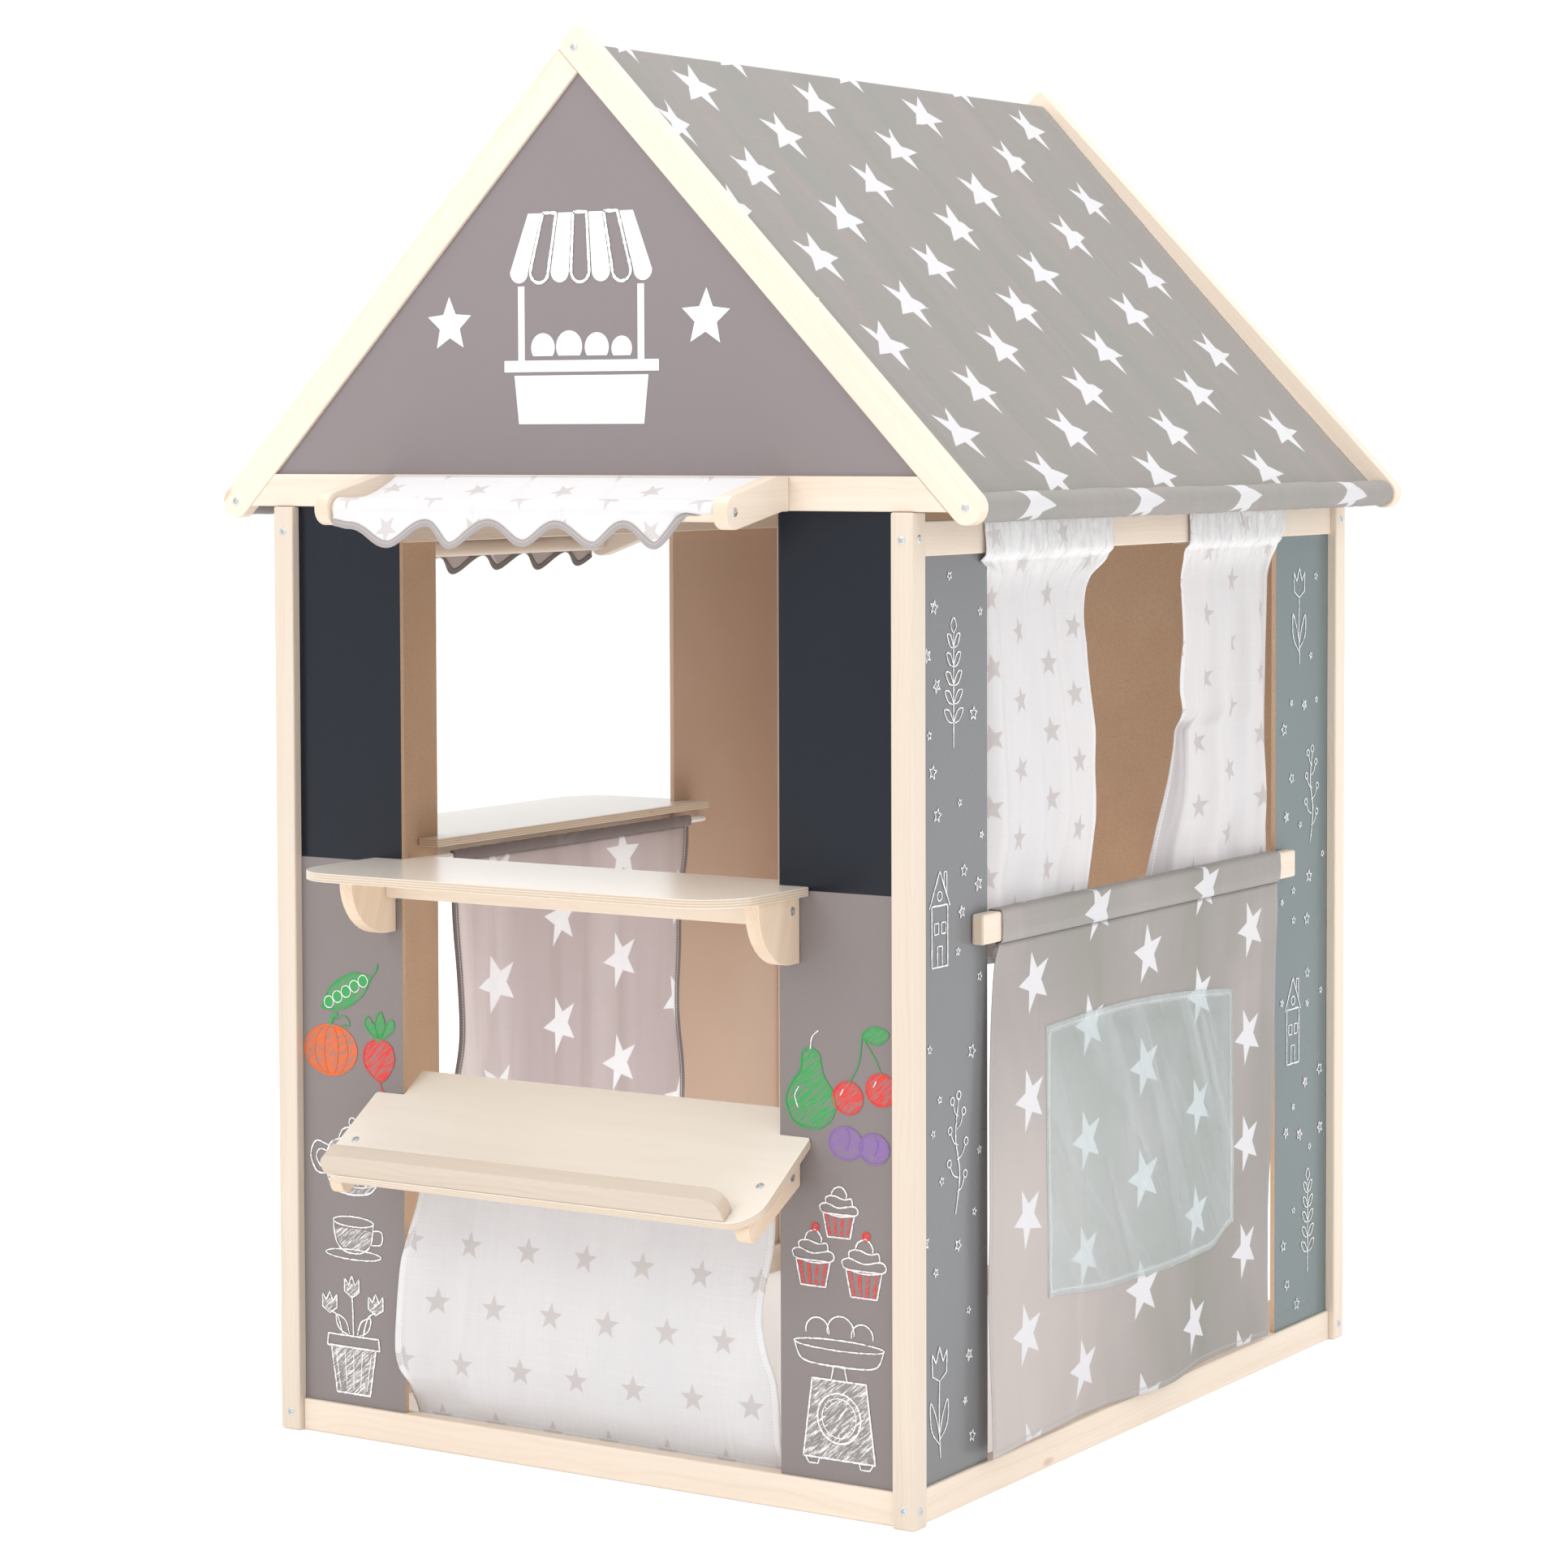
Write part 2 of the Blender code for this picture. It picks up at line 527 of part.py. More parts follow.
def cheek_outline(back_y, lo, hi, cy, cz, knee):
    """side view of an awning arm: square at the wall, round at the dowel"""
    pts = [(back_y, lo), (back_y, hi), (back_y - knee, hi)]
    a_top = math.atan2(hi - cz, (back_y - knee) - cy)
    reach = math.hypot(hi - cz, (back_y - knee) - cy)
    t0 = a_top + math.acos(AWN_R / reach)
    a_bot = math.atan2(lo - cz, (back_y - knee * 0.5) - cy)
    reach_b = math.hypot(lo - cz, (back_y - knee * 0.5) - cy)
    t1 = a_bot - math.acos(min(1.0, AWN_R / reach_b)) + 2 * math.pi
    pts += [(cy + AWN_R * math.cos(t0 + (t1 - t0) * k / 12), cz + AWN_R * math.sin(t0 + (t1 - t0) * k / 12))
            for k in range(13)]
    pts += [(back_y - knee * 0.5, lo)]
    return pts


front_cheek = cheek_outline(-HY + GABLE_IN - GAP, 1.0999, 1.1386, AWN_Y, AWN_Z, 0.025)
for lr, sx in (("left", -1), ("right", 1)):
    a, b = sorted((sx * AWN_HALF, sx * (AWN_HALF - AWN_T)))
    outline(f"awning_arm_{lr}", front_cheek, 'YZ', a, b, WOOD)
AW_IN = AWN_HALF - AWN_T - GAP
rod("awning_dowel", (-AW_IN, AWN_Y, AWN_Z), (AW_IN, AWN_Y, AWN_Z), AWN_D, WOOD)

side_cheek = cheek_outline(-RX - GAP, TOP_LO, TOP_HI - 0.001, SAWN_X, SAWN_Z, 0.018)
for fb, sy in (("front", -1), ("rear", 1)):
    a, b = sorted((sy * AWN_HALF, sy * (AWN_HALF - AWN_T)))
    outline(f"side_awning_arm_{fb}", side_cheek, 'XZ', a, b, WOOD)
rod("side_awning_dowel", (SAWN_X, -AW_IN, SAWN_Z), (SAWN_X, AW_IN, SAWN_Z), AWN_D, WOOD)


def awning(name, wall, wall_z, cy, cz, drop_lo, drop_hi, lobes, along, colour):
    """cloth from the wall over the dowel, ending in a scalloped edge"""
    r = AWN_D / 2 + GAP + CLOTH / 2
    # sagging stretch from the wall to the dowel's top
    top = (cy + r * math.cos(math.radians(78)), cz + r * math.sin(math.radians(78)))
    fixed = []
    for k in range(5):
        t = k / 5
        fixed.append((wall + (top[0] - wall) * t, wall_z + (top[1] - wall_z) * t - 0.010 * math.sin(math.pi * t)))
    fixed += arc((cy, cz), r, math.radians(78), math.radians(180), 5)
    half = AW_IN - 0.001
    rows = []
    n = lobes * 6
    for i in range(n + 1):
        u = -half + 2 * half * i / n
        w = abs(math.sin(math.pi * i / 6))
        drop = drop_hi + (drop_lo - drop_hi) * w
        tail = [(cy - r, cz + (drop - cz) * q) for q in (0.34, 0.67, 1.0)]
        pts = fixed + tail
        if along == 'X':
            rows.append([(u, p[0], p[1]) for p in pts])
        else:
            rows.append([(p[0], u, p[1]) for p in pts])
    return cloth_grid(name, rows, CLOTH, colour)


awning("awning_cloth", -HY + GABLE_IN - GAP - CLOTH, 1.1370, AWN_Y, AWN_Z, 1.0520, 1.0820, 6, 'X', CLOTH_WHITE)
awning("side_awning_cloth", -RX - GAP - CLOTH, 1.0870, SAWN_X, SAWN_Z, 1.0020, 1.0220, 6, 'Y', CLOTH_GREY)

# ------------------------------------------------------------------ curtain rods


def bent_rod(name, half, foot, line, z, along):
    """a wire rod whose bent ends stand off the panels behind it"""
    r = 0.009
    pts = [(-half, foot), (-half, line - r if line > foot else line + r)]
    sgn = 1 if line > foot else -1
    pts += [(-half + r - r * math.cos(t), line - sgn * (r - r * math.sin(t)))
            for t in [math.pi / 2 * k / 4 for k in range(1, 5)]]
    pts += [(-p[0], p[1]) for p in pts[::-1]]
    curve = bpy.data.curves.new(name, 'CURVE')
    curve.dimensions = '3D'
    curve.bevel_depth = WIRE_D / 2
    curve.bevel_resolution = 2
    curve.use_fill_caps = True
    sp = curve.splines.new('POLY')
    sp.points.add(len(pts) - 1)
    for q, p in zip(sp.points, pts):
        q.co = (p[0], p[1], z, 1) if along == 'X' else (p[1], p[0], z, 1)
    tmp = bpy.data.objects.new(name + "_curve", curve)
    PARTS.objects.link(tmp)
    deps = bpy.context.evaluated_depsgraph_get()
    me = bpy.data.meshes.new_from_object(tmp.evaluated_get(deps))
    bpy.data.objects.remove(tmp, do_unlink=True)
    bm = bmesh.new()
    bm.from_mesh(me)
    bmesh.ops.remove_doubles(bm, verts=bm.verts, dist=1e-6)
    bmesh.ops.recalc_face_normals(bm, faces=bm.faces)
    bm.to_mesh(me)
    bm.free()
    me.shade_smooth()
    me.set_sharp_from_angle(angle=math.radians(40))
    return finish(new_object(name, me), (0.85, 0.85, 0.84), 0.35)


bent_rod("front_curtain_rod", 0.2920, -PY + PANEL_T + GAP, FROD_Y, FROD_Z, 'X')
bent_rod("side_curtain_rod", 0.3200, -PXW + PANEL_T + GAP, SROD_X, SROD_Z, 'Y')

RING = WIRE_D / 2 + 0.0005 + CLOTH / 2


def ring_and_tail(cx, cz, low):
    """a sleeve round the rod, closing into a tail that hangs below it"""
    pts = arc((cx, cz), RING, math.radians(-58), math.radians(262), 14)
    pts = pts[:-1] + [(cx, cz - RING - 0.0006), (cx, cz - RING - 0.006)]
    zs = [cz - RING - 0.006, low]
    pts += [(cx, zs[0] + (zs[1] - zs[0]) * k / 3) for k in range(1, 4)]
    return pts


extruded_sheet("front_curtain", ring_and_tail(FROD_Y, FROD_Z, 0.028), 'X', [-0.2785, -0.02, 0.2380],
               CLOTH, CLOTH_WHITE, (0, FROD_Y, FROD_Z))
extruded_sheet("side_curtain", ring_and_tail(SROD_X, SROD_Z, 0.030), 'Y', [-0.2430, 0.02, 0.2820],
               CLOTH, CLOTH_GREY, (SROD_X, 0, SROD_Z))

# ------------------------------------------------------------------ door curtains
o = 0.0015
RX0, RX1 = RX - RAIL_T - o, RX + o
RZ0, RZ1 = TOP_LO - o, TOP_HI + o
tail_x = 0.4170
loop = [(tail_x + 0.0035, RZ0), (RX1, RZ0), (RX1, RZ1), (RX0, RZ1), (RX0, RZ0), (tail_x, RZ0)]
loop += [(tail_x, RZ0 + (0.592 - RZ0) * k / 4) for k in range(1, 5)]
extruded_sheet("door_curtain_front", loop, 'Y', [-0.3600, -0.22, -0.0840], CLOTH, CLOTH_WHITE,
               (tail_x, -0.2125, RZ0))
extruded_sheet("door_curtain_rear", loop, 'Y', [0.1280, 0.25, 0.3690], CLOTH, CLOTH_WHITE,
               (tail_x, 0.2485, RZ0))

# ------------------------------------------------------------------ door flap
box("door_bar", (BARX0, BAR_Y0, BARZ0), (BARX1, BAR_Y1, BARZ1), WOOD, bevel=0.003)
b = 0.0013
mid_x = (BARX0 + BARX1) / 2
FLAP_Z = 0.6115
sleeve = [(mid_x - 0.0022, BARZ0 - b), (BARX0 - b, BARZ0 - b), (BARX0 - b, BARZ1 + b), (BARX1 + b, BARZ1 + b),
          (BARX1 + b, BARZ0 - b), (mid_x + 0.0004, BARZ0 - b), (mid_x + 0.0002, FLAP_Z + 0.0018)]
extruded_sheet("door_sleeve", sleeve, 'Y', [-0.3685, 0.0, 0.3485], CLOTH, CLOTH_GREY)
box("door_flap", (mid_x - CLOTH / 2, -0.3850, 0.0410), (mid_x + CLOTH / 2, 0.3560, FLAP_Z - 0.0010),
    CLOTH_GREY, 0.9, bevel=0.0, origin=(mid_x, 0, FLAP_Z))
box("door_pocket", (mid_x + CLOTH / 2 + GAP, -0.2490, 0.1980), (mid_x + CLOTH / 2 + GAP + 0.0010, 0.2160, 0.5040),
    (0.55, 0.60, 0.60), 0.4, bevel=0.0, origin=(mid_x, 0, FLAP_Z))
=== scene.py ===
"""Looks of the play shop stand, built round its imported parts: wood, boards, printed
cloth, drawings, screws, light and camera.  Metres, +Z up, front towards -Y."""

import math
import random

import bmesh
import bpy
import numpy as np
from mathutils import Matrix, Vector, noise


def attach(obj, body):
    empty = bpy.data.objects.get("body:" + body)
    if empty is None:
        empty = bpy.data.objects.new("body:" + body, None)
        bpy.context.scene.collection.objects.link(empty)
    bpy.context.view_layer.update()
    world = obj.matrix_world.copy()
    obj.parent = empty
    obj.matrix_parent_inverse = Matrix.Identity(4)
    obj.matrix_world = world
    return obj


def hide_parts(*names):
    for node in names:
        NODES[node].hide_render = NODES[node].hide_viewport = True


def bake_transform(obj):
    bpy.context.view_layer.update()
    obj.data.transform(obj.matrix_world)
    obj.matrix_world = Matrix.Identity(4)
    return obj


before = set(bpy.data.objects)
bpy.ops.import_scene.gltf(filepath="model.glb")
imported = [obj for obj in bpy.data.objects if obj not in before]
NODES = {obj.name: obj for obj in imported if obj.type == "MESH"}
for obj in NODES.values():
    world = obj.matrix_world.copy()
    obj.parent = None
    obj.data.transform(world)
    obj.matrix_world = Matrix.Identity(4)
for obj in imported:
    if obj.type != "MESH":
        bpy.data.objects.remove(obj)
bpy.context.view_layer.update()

# The stall is drawn about the middle of its four posts; the row frame is shifted.
SX, SY = 0.03825, 0.0785
SHIFT = np.array([SX, SY, 0.0])


def W(x, y, z):
    return Vector((x + SX, y + SY, z))


# ------------------------------------------------------------------ camera
cam_data = bpy.data.cameras.new("camera")
cam_data.lens = 92.557
cam_data.sensor_width = 36.0
cam_data.sensor_fit = 'HORIZONTAL'
cam_data.shift_x = 0.0
cam_data.shift_y = -0.10870
cam_data.clip_end = 60.0
cam = bpy.data.objects.new("camera", cam_data)
bpy.context.scene.collection.objects.link(cam)
right = Vector((0.845709, 0.533635, -0.003091))
upv = Vector((-0.021524, 0.039897, 0.998972))
back = Vector((0.53321, -0.844773, 0.045227))
rot = Matrix((right, upv, back)).transposed().to_4x4()
cam.matrix_world = Matrix.Translation((2.65501, -4.18598, 1.18736)) @ rot
bpy.context.scene.camera = cam


# ------------------------------------------------------------------ node graphs
class Graph:
    def __init__(self, name):
        self.mat = bpy.data.materials.new(name)
        self.mat.use_nodes = True
        self.nt = self.mat.node_tree
        self.nt.nodes.clear()
        self.out = self.nt.nodes.new("ShaderNodeOutputMaterial")

    def put(self, sock, value):
        if isinstance(value, bpy.types.NodeSocket):
            self.nt.links.new(value, sock)
        elif value is not None:
            if hasattr(sock.default_value, "__len__") and not hasattr(value, "__len__"):
                value = [value] * len(sock.default_value)
            if hasattr(sock.default_value, "__len__") and len(sock.default_value) == 4 and len(value) == 3:
                value = (*value, 1.0)
            sock.default_value = value

    def m(self, op, a, b=None, c=None, clamp=False):
        n = self.nt.nodes.new("ShaderNodeMath")
        n.operation = op
        n.use_clamp = clamp
        for s, v in zip(n.inputs, (a, b, c)):
            if v is not None:
                self.put(s, v)
        return n.outputs[0]

    def v(self, op, a, b=None, scale=None):
        n = self.nt.nodes.new("ShaderNodeVectorMath")
        n.operation = op
        self.put(n.inputs[0], a)
        if b is not None:
            self.put(n.inputs[1], b)
        if scale is not None:
            self.put(n.inputs["Scale"], scale)
        return n.outputs["Value"] if op in ("DOT_PRODUCT", "LENGTH") else n.outputs["Vector"]

    def sep(self, a):
        n = self.nt.nodes.new("ShaderNodeSeparateXYZ")
        self.put(n.inputs[0], a)
        return n.outputs

    def comb(self, x, y, z):
        n = self.nt.nodes.new("ShaderNodeCombineXYZ")
        for s, v in zip(n.inputs, (x, y, z)):
            self.put(s, v)
        return n.outputs[0]

    def obj(self):
        if not hasattr(self, "_tc"):
            self._tc = self.nt.nodes.new("ShaderNodeTexCoord")
        return self._tc.outputs["Object"]

    def normal(self):
        self.obj()
        return self._tc.outputs["Normal"]

    def attr(self, name):
        n = self.nt.nodes.new("ShaderNodeAttribute")
        n.attribute_name = name
        return n.outputs["Vector"]

    def noise(self, vec, scale=1.0, detail=3.0, rough=0.5, dist=0.0, colour=False):
        n = self.nt.nodes.new("ShaderNodeTexNoise")
        self.put(n.inputs["Vector"], vec)
        n.inputs["Scale"].default_value = scale
        n.inputs["Detail"].default_value = detail
        n.inputs["Roughness"].default_value = rough
        n.inputs["Distortion"].default_value = dist
        return n.outputs["Color"] if colour else n.outputs["Fac"]

    def white(self, vec):
        n = self.nt.nodes.new("ShaderNodeTexWhiteNoise")
        n.noise_dimensions = '3D'
        self.put(n.inputs["Vector"], vec)
        return n.outputs["Value"]

    def rng(self, val, a, b, c=0.0, d=1.0, smooth=False):
        n = self.nt.nodes.new("ShaderNodeMapRange")
        n.interpolation_type = 'SMOOTHSTEP' if smooth else 'LINEAR'
        self.put(n.inputs[0], val)
        for s, v in zip(n.inputs[1:5], (a, b, c, d)):
            self.put(s, v)
        return n.outputs[0]

    def mix(self, fac, a, b, mode='MIX'):
        n = self.nt.nodes.new("ShaderNodeMix")
        n.data_type = 'RGBA'
        n.blend_type = mode
        self.put(n.inputs["Factor"], fac)
        self.put(n.inputs[6], a)
        self.put(n.inputs[7], b)
        return n.outputs[2]

    def bump(self, height, distance, strength=1.0, normal=None):
        n = self.nt.nodes.new("ShaderNodeBump")
        n.inputs["Strength"].default_value = strength
        n.inputs["Distance"].default_value = distance
        self.put(n.inputs["Height"], height)
        if normal is not None:
            self.put(n.inputs["Normal"], normal)
        return n.outputs[0]

    def principled(self, colour, rough, normal=None, **kw):
        n = self.nt.nodes.new("ShaderNodeBsdfPrincipled")
        self.put(n.inputs["Base Color"], colour)
        self.put(n.inputs["Roughness"], rough)
        if normal is not None:
            self.put(n.inputs["Normal"], normal)
        for k, v in kw.items():
            self.put(n.inputs[k.replace("_", " ")], v)
        return n.outputs[0]

    def shader(self, kind, **kw):
        n = self.nt.nodes.new(kind)
        for k, v in kw.items():
            self.put(n.inputs[k.replace("_", " ")], v)
        return n.outputs[0]

    def mixs(self, fac, a, b):
        n = self.nt.nodes.new("ShaderNodeMixShader")
        self.put(n.inputs[0], fac)
        self.put(n.inputs[1], a)
        self.put(n.inputs[2], b)
        return n.outputs[0]

    def done(self, surface):
        self.nt.links.new(surface, self.out.inputs["Surface"])
        return self.mat


def lin(r, g, b):
    return tuple(((c / 255) / 12.92 if c / 255 <= 0.04045 else ((c / 255 + 0.055) / 1.055) ** 2.4) for c in (r, g, b))


# ------------------------------------------------------------------ wood
def wood_material(name, along, seed, tone=1.0, lo=None, hi=None):
    """planed pale softwood whose grain runs along the given direction"""
    a = Vector(along).normalized()
    b = a.cross(Vector((0.31, 0.17, 0.93)) if abs(a.z) < 0.8 else Vector((1, 0.13, 0))).normalized()
    c = a.cross(b)
    g = Graph(name)
    p = g.v('ADD', g.obj(), (seed * 0.731, seed * 0.417, seed * 0.219))
    al, ac, ad = (g.v('DOT_PRODUCT', p, tuple(q)) for q in (a, b, c))
    wob = g.noise(g.comb(g.m('MULTIPLY', al, 3.0), g.m('MULTIPLY', ac, 9.0), g.m('MULTIPLY', ad, 9.0)), 1.0, 2.0)
    wob = g.m('MULTIPLY', g.m('SUBTRACT', wob, 0.5), 0.030)
    x = g.m('ADD', ac, wob)
    y = g.m('ADD', ad, g.m('MULTIPLY', wob, 0.6))
    band = g.noise(g.comb(g.m('MULTIPLY', x, 75), g.m('MULTIPLY', y, 75), g.m('MULTIPLY', al, 1.3)), 1.0, 3.0, 0.55)
    ring = g.m('SINE', g.m('MULTIPLY', g.m('ADD', x, g.m('MULTIPLY', y, 0.55)), 1350.0))
    ring = g.m('POWER', g.m('MULTIPLY_ADD', ring, 0.5, 0.5), 3.0)
    ring = g.m('MULTIPLY', ring, g.rng(band, 0.35, 0.75, 0.15, 0.85))
    fine = g.noise(g.comb(g.m('MULTIPLY', x, 1500), g.m('MULTIPLY', y, 1500), g.m('MULTIPLY', al, 22)), 1.0, 3.0, 0.6)
    cloud = g.noise(g.comb(g.m('MULTIPLY', ac, 6), g.m('MULTIPLY', ad, 6), g.m('MULTIPLY', al, 2.2)), 1.0, 2.0)
    hi = hi or (0.800, 0.695, 0.590)
    lo = lo or (0.665, 0.530, 0.405)
    hi = [q * tone for q in hi]
    lo = [q * tone for q in lo]
    f = g.m('ADD', g.m('MULTIPLY', g.rng(band, 0.3, 0.75), 0.30), g.m('MULTIPLY', ring, 0.26))
    f = g.m('ADD', f, g.m('MULTIPLY', g.rng(fine, 0.5, 0.75), 0.16))
    f = g.m('ADD', f, g.m('MULTIPLY', g.rng(cloud, 0.3, 0.7), 0.16), clamp=True)
    col = g.mix(f, hi, lo)
    end = g.m('ABSOLUTE', g.v('DOT_PRODUCT', g.normal(), tuple(a)))
    endm = g.rng(end, 0.75, 0.9)
    col = g.mix(g.m('MULTIPLY', endm, 0.55), col, [q * tone for q in (0.70, 0.545, 0.395)])
    # small pin knots, few and far between
    vor = g.nt.nodes.new("ShaderNodeTexVoronoi")
    vor.inputs["Scale"].default_value = 1.0
    g.put(vor.inputs["Vector"], g.comb(g.m('MULTIPLY', ac, 16), g.m('MULTIPLY', ad, 16), g.m('MULTIPLY', al, 5.5)))
    knot = g.m('MULTIPLY', g.rng(vor.outputs["Distance"], 0.035, 0.10, 1.0, 0.0, True),
               g.m('GREATER_THAN', g.sep(vor.outputs["Color"])[0], 0.80))
    col = g.mix(g.m('MULTIPLY', knot, 0.45), col, (0.46, 0.27, 0.14))
    h = g.m('ADD', g.m('MULTIPLY', fine, 0.5), g.m('MULTIPLY', ring, 0.35))
    nrm = g.bump(h, 0.00012, 0.6)
    rough = g.rng(fine, 0.2, 0.8, 0.42, 0.56)
    return g.done(g.principled(col, rough, nrm, Specular_IOR_Level=0.35))


def ply_material(name, normal, offset, thick, seed, along=(1, 0, 0), pale=1.0):
    """birch plywood: quiet face, plies across its edge"""
    n = Vector(normal).normalized()
    a = Vector(along).normalized()
    c = n.cross(a)
    g = Graph(name)
    p = g.obj()
    h = g.m('SUBTRACT', g.v('DOT_PRODUCT', p, tuple(n)), offset)       # 0 at the top face, negative below
    al = g.v('DOT_PRODUCT', p, tuple(a))
    ac = g.v('DOT_PRODUCT', p, tuple(c))
    wob = g.noise(g.comb(g.m('MULTIPLY', al, 4), g.m('MULTIPLY', ac, 9), seed * 3.1), 1.0, 3.0)
    x = g.m('ADD', ac, g.m('MULTIPLY', g.m('SUBTRACT', wob, 0.5), 0.05))
    band = g.noise(g.comb(g.m('MULTIPLY', x, 55), g.m('MULTIPLY', al, 2.0), seed), 1.0, 4.0, 0.6)
    fine = g.noise(g.comb(g.m('MULTIPLY', x, 1100), g.m('MULTIPLY', al, 45), seed), 1.0, 3.0, 0.6)
    f = g.m('ADD', g.m('MULTIPLY', g.rng(band, 0.35, 0.72), 0.34), g.m('MULTIPLY', g.rng(fine, 0.5, 0.75), 0.22), clamp=True)
    # pale lightens the face; on the counter it is a painted reflection of its glancing sheen
    face = g.mix(f, [min(0.93, q * pale) for q in (0.800, 0.742, 0.662)], [q * pale for q in (0.735, 0.658, 0.560)])
    fleck = g.noise(g.comb(g.m('MULTIPLY', ac, 120), g.m('MULTIPLY', al, 60), seed * 7.0), 1.0, 1.0)
    face = g.mix(g.rng(fleck, 0.84, 0.92, 0.0, 0.4), face, (0.55, 0.40, 0.28))
    # plies: seven layers, the crossed ones darker, with thin glue lines
    t = g.m('MULTIPLY', h, -7.0 / thick)
    ti = g.m('FLOOR', t)
    odd = g.m('FLOORED_MODULO', ti, 2.0)
    fr = g.m('FRACT', t)
    glue = g.m('ADD', g.rng(fr, 0.0, 0.12, 1.0, 0.0), g.rng(fr, 0.88, 1.0, 0.0, 1.0))
    grain = g.noise(g.comb(g.m('MULTIPLY', h, 2600), g.m('MULTIPLY', g.m('ADD', al, ac), 130), seed), 1.0, 3.0, 0.6)
    edge = g.mix(odd, (0.68, 0.590, 0.485), (0.545, 0.430, 0.320))
    edge = g.mix(g.rng(grain, 0.45, 0.8, 0.0, 0.35), edge, (0.50, 0.34, 0.20))
    edge = g.mix(g.m('MULTIPLY', glue, 0.30), edge, (0.44, 0.28, 0.16))
    patch = g.noise(g.comb(g.m('MULTIPLY', h, 330), g.m('MULTIPLY', g.m('ADD', al, ac), 26), seed * 5.0), 1.0, 1.0)
    edge = g.mix(g.rng(patch, 0.70, 0.76, 0.0, 0.75), edge, (0.46, 0.25, 0.13))
    up = g.m('ABSOLUTE', g.v('DOT_PRODUCT', g.normal(), tuple(n)))
    col = g.mix(g.rng(up, 0.70, 0.85), edge, face)
    nrm = g.bump(g.m('ADD', g.m('MULTIPLY', fine, 0.5), g.m('MULTIPLY', grain, 0.3)), 0.00003, 0.5)
    rough = g.m('MULTIPLY_ADD', g.rng(up, 0.70, 0.85), -0.14, g.rng(fine, 0.2, 0.8, 0.42, 0.48))
    return g.done(g.principled(col, rough, nrm, Specular_IOR_Level=0.5, Coat_Weight=0.70, Coat_Roughness=0.22))


def fibre(g):
    """bare fibreboard: brown, finely speckled"""
    p = g.obj()
    big = g.noise(p, 7.0, 3.0, 0.55)
    fine = g.noise(p, 420.0, 3.0, 0.7)
    hair = g.noise(g.v('MULTIPLY', p, (260, 260, 900)), 1.0, 2.0)
    col = g.mix(g.rng(big, 0.3, 0.7), (0.525, 0.350, 0.228), (0.590, 0.405, 0.270))
    col = g.mix(g.rng(fine, 0.42, 0.66, 0.0, 0.45), col, (0.42, 0.265, 0.160))
    col = g.mix(g.rng(hair, 0.6, 0.8, 0.0, 0.35), col, (0.62, 0.435, 0.290))
    return col, fine


def board_material(name, axis, face_at, sign, paint, split=None, paint_rough=0.33, pinkish=0.0):
    """thin board: painted on the face at face_at along axis, bare fibre elsewhere"""
    g = Graph(name)
    p = g.obj()
    s = g.sep(p)
    d = s[axis]
    raw, fine = fibre(g)
    if pinkish:
        raw = g.mix(pinkish, raw, (0.62, 0.475, 0.395))
    n = g.sep(g.normal())[axis]
    on = g.m('MULTIPLY', g.m('GREATER_THAN', g.m('MULTIPLY', n, sign), 0.6),
             g.m('LESS_THAN', g.m('ABSOLUTE', g.m('SUBTRACT', d, face_at)), 0.0012))
    tex = g.noise(p, 900.0, 2.0, 0.6)
    cloud = g.noise(p, 5.0, 3.0, 0.5)
    scuff = g.noise(g.v('MULTIPLY', p, (70, 70, 9)), 1.0, 4.0, 0.65)
    def tint(c):
        c2 = g.mix(g.rng(cloud, 0.3, 0.7, 0.0, 0.5), c, [q * 0.93 for q in c])
        c2 = g.mix(g.rng(tex, 0.4, 0.8, 0.0, 0.30), c2, [min(1, q * 1.12 + 0.004) for q in c])
        return g.mix(g.rng(scuff, 0.64, 0.85, 0.0, 0.22), c2, [min(1, q * 1.2 + 0.01) for q in c])
    col = tint(paint)
    rough = g.rng(cloud, 0.2, 0.8, paint_rough, paint_rough + 0.08)
    if split is not None:
        z, dark, dark_rough = split
        upper = g.rng(s[2], z - 0.0004, z + 0.0004)
        col = g.mix(upper, col, tint(dark))
        rough = g.mix(upper, rough, g.rng(scuff, 0.2, 0.9, dark_rough, dark_rough + 0.09))
        rough = g.sep(rough)[0]
    col = g.mix(on, raw, col)
    rr = g.m('MULTIPLY_ADD', g.m('SUBTRACT', 1.0, on), 0.30, rough)
    ripple = g.noise(p, 60.0, 2.0, 0.5)
    hgt = g.m('ADD', g.m('MULTIPLY', tex, 0.35), g.m('MULTIPLY', ripple, 0.65))
    nrm = g.bump(hgt, 0.00010, 0.5)
    spec = 0.30 if split else 0.40
    return g.done(g.principled(col, g.m('MINIMUM', rr, 0.75), nrm, Specular_IOR_Level=spec))


UPV = Vector((-0.4995, 0, 0.512)).normalized()
GRAIN = {'x': (1, 0, 0), 'y': (0, 1, 0), 'z': (0, 0, 1), 'r': (-UPV.x * -1 * -1, 0, UPV.z), 'l': (-UPV.x, 0, UPV.z)}
GRAIN['r'] = (UPV.x, 0, UPV.z)
WOODS = {
    'z': ["post_front_left", "post_front_right", "post_rear_left", "post_rear_right"],
    'x': ["rail_front", "rail_back", "gable_base_front", "gable_base_rear", "awning_dowel",
          "counter_apron", "display_apron", "display_lip", "side_awning_arm_front", "side_awning_arm_rear"],
    'y': ["rail_door_side", "rail_left_side", "top_rail_door_side", "top_rail_left_side", "ridge_pole",
          "eave_dowel_left", "eave_dowel_right", "door_bar", "side_awning_dowel", "side_apron",
          "awning_arm_left", "awning_arm_right"],
    'r': ["rafter_front_right", "rafter_rear_right"],
    'l': ["rafter_front_left", "rafter_rear_left"],
}
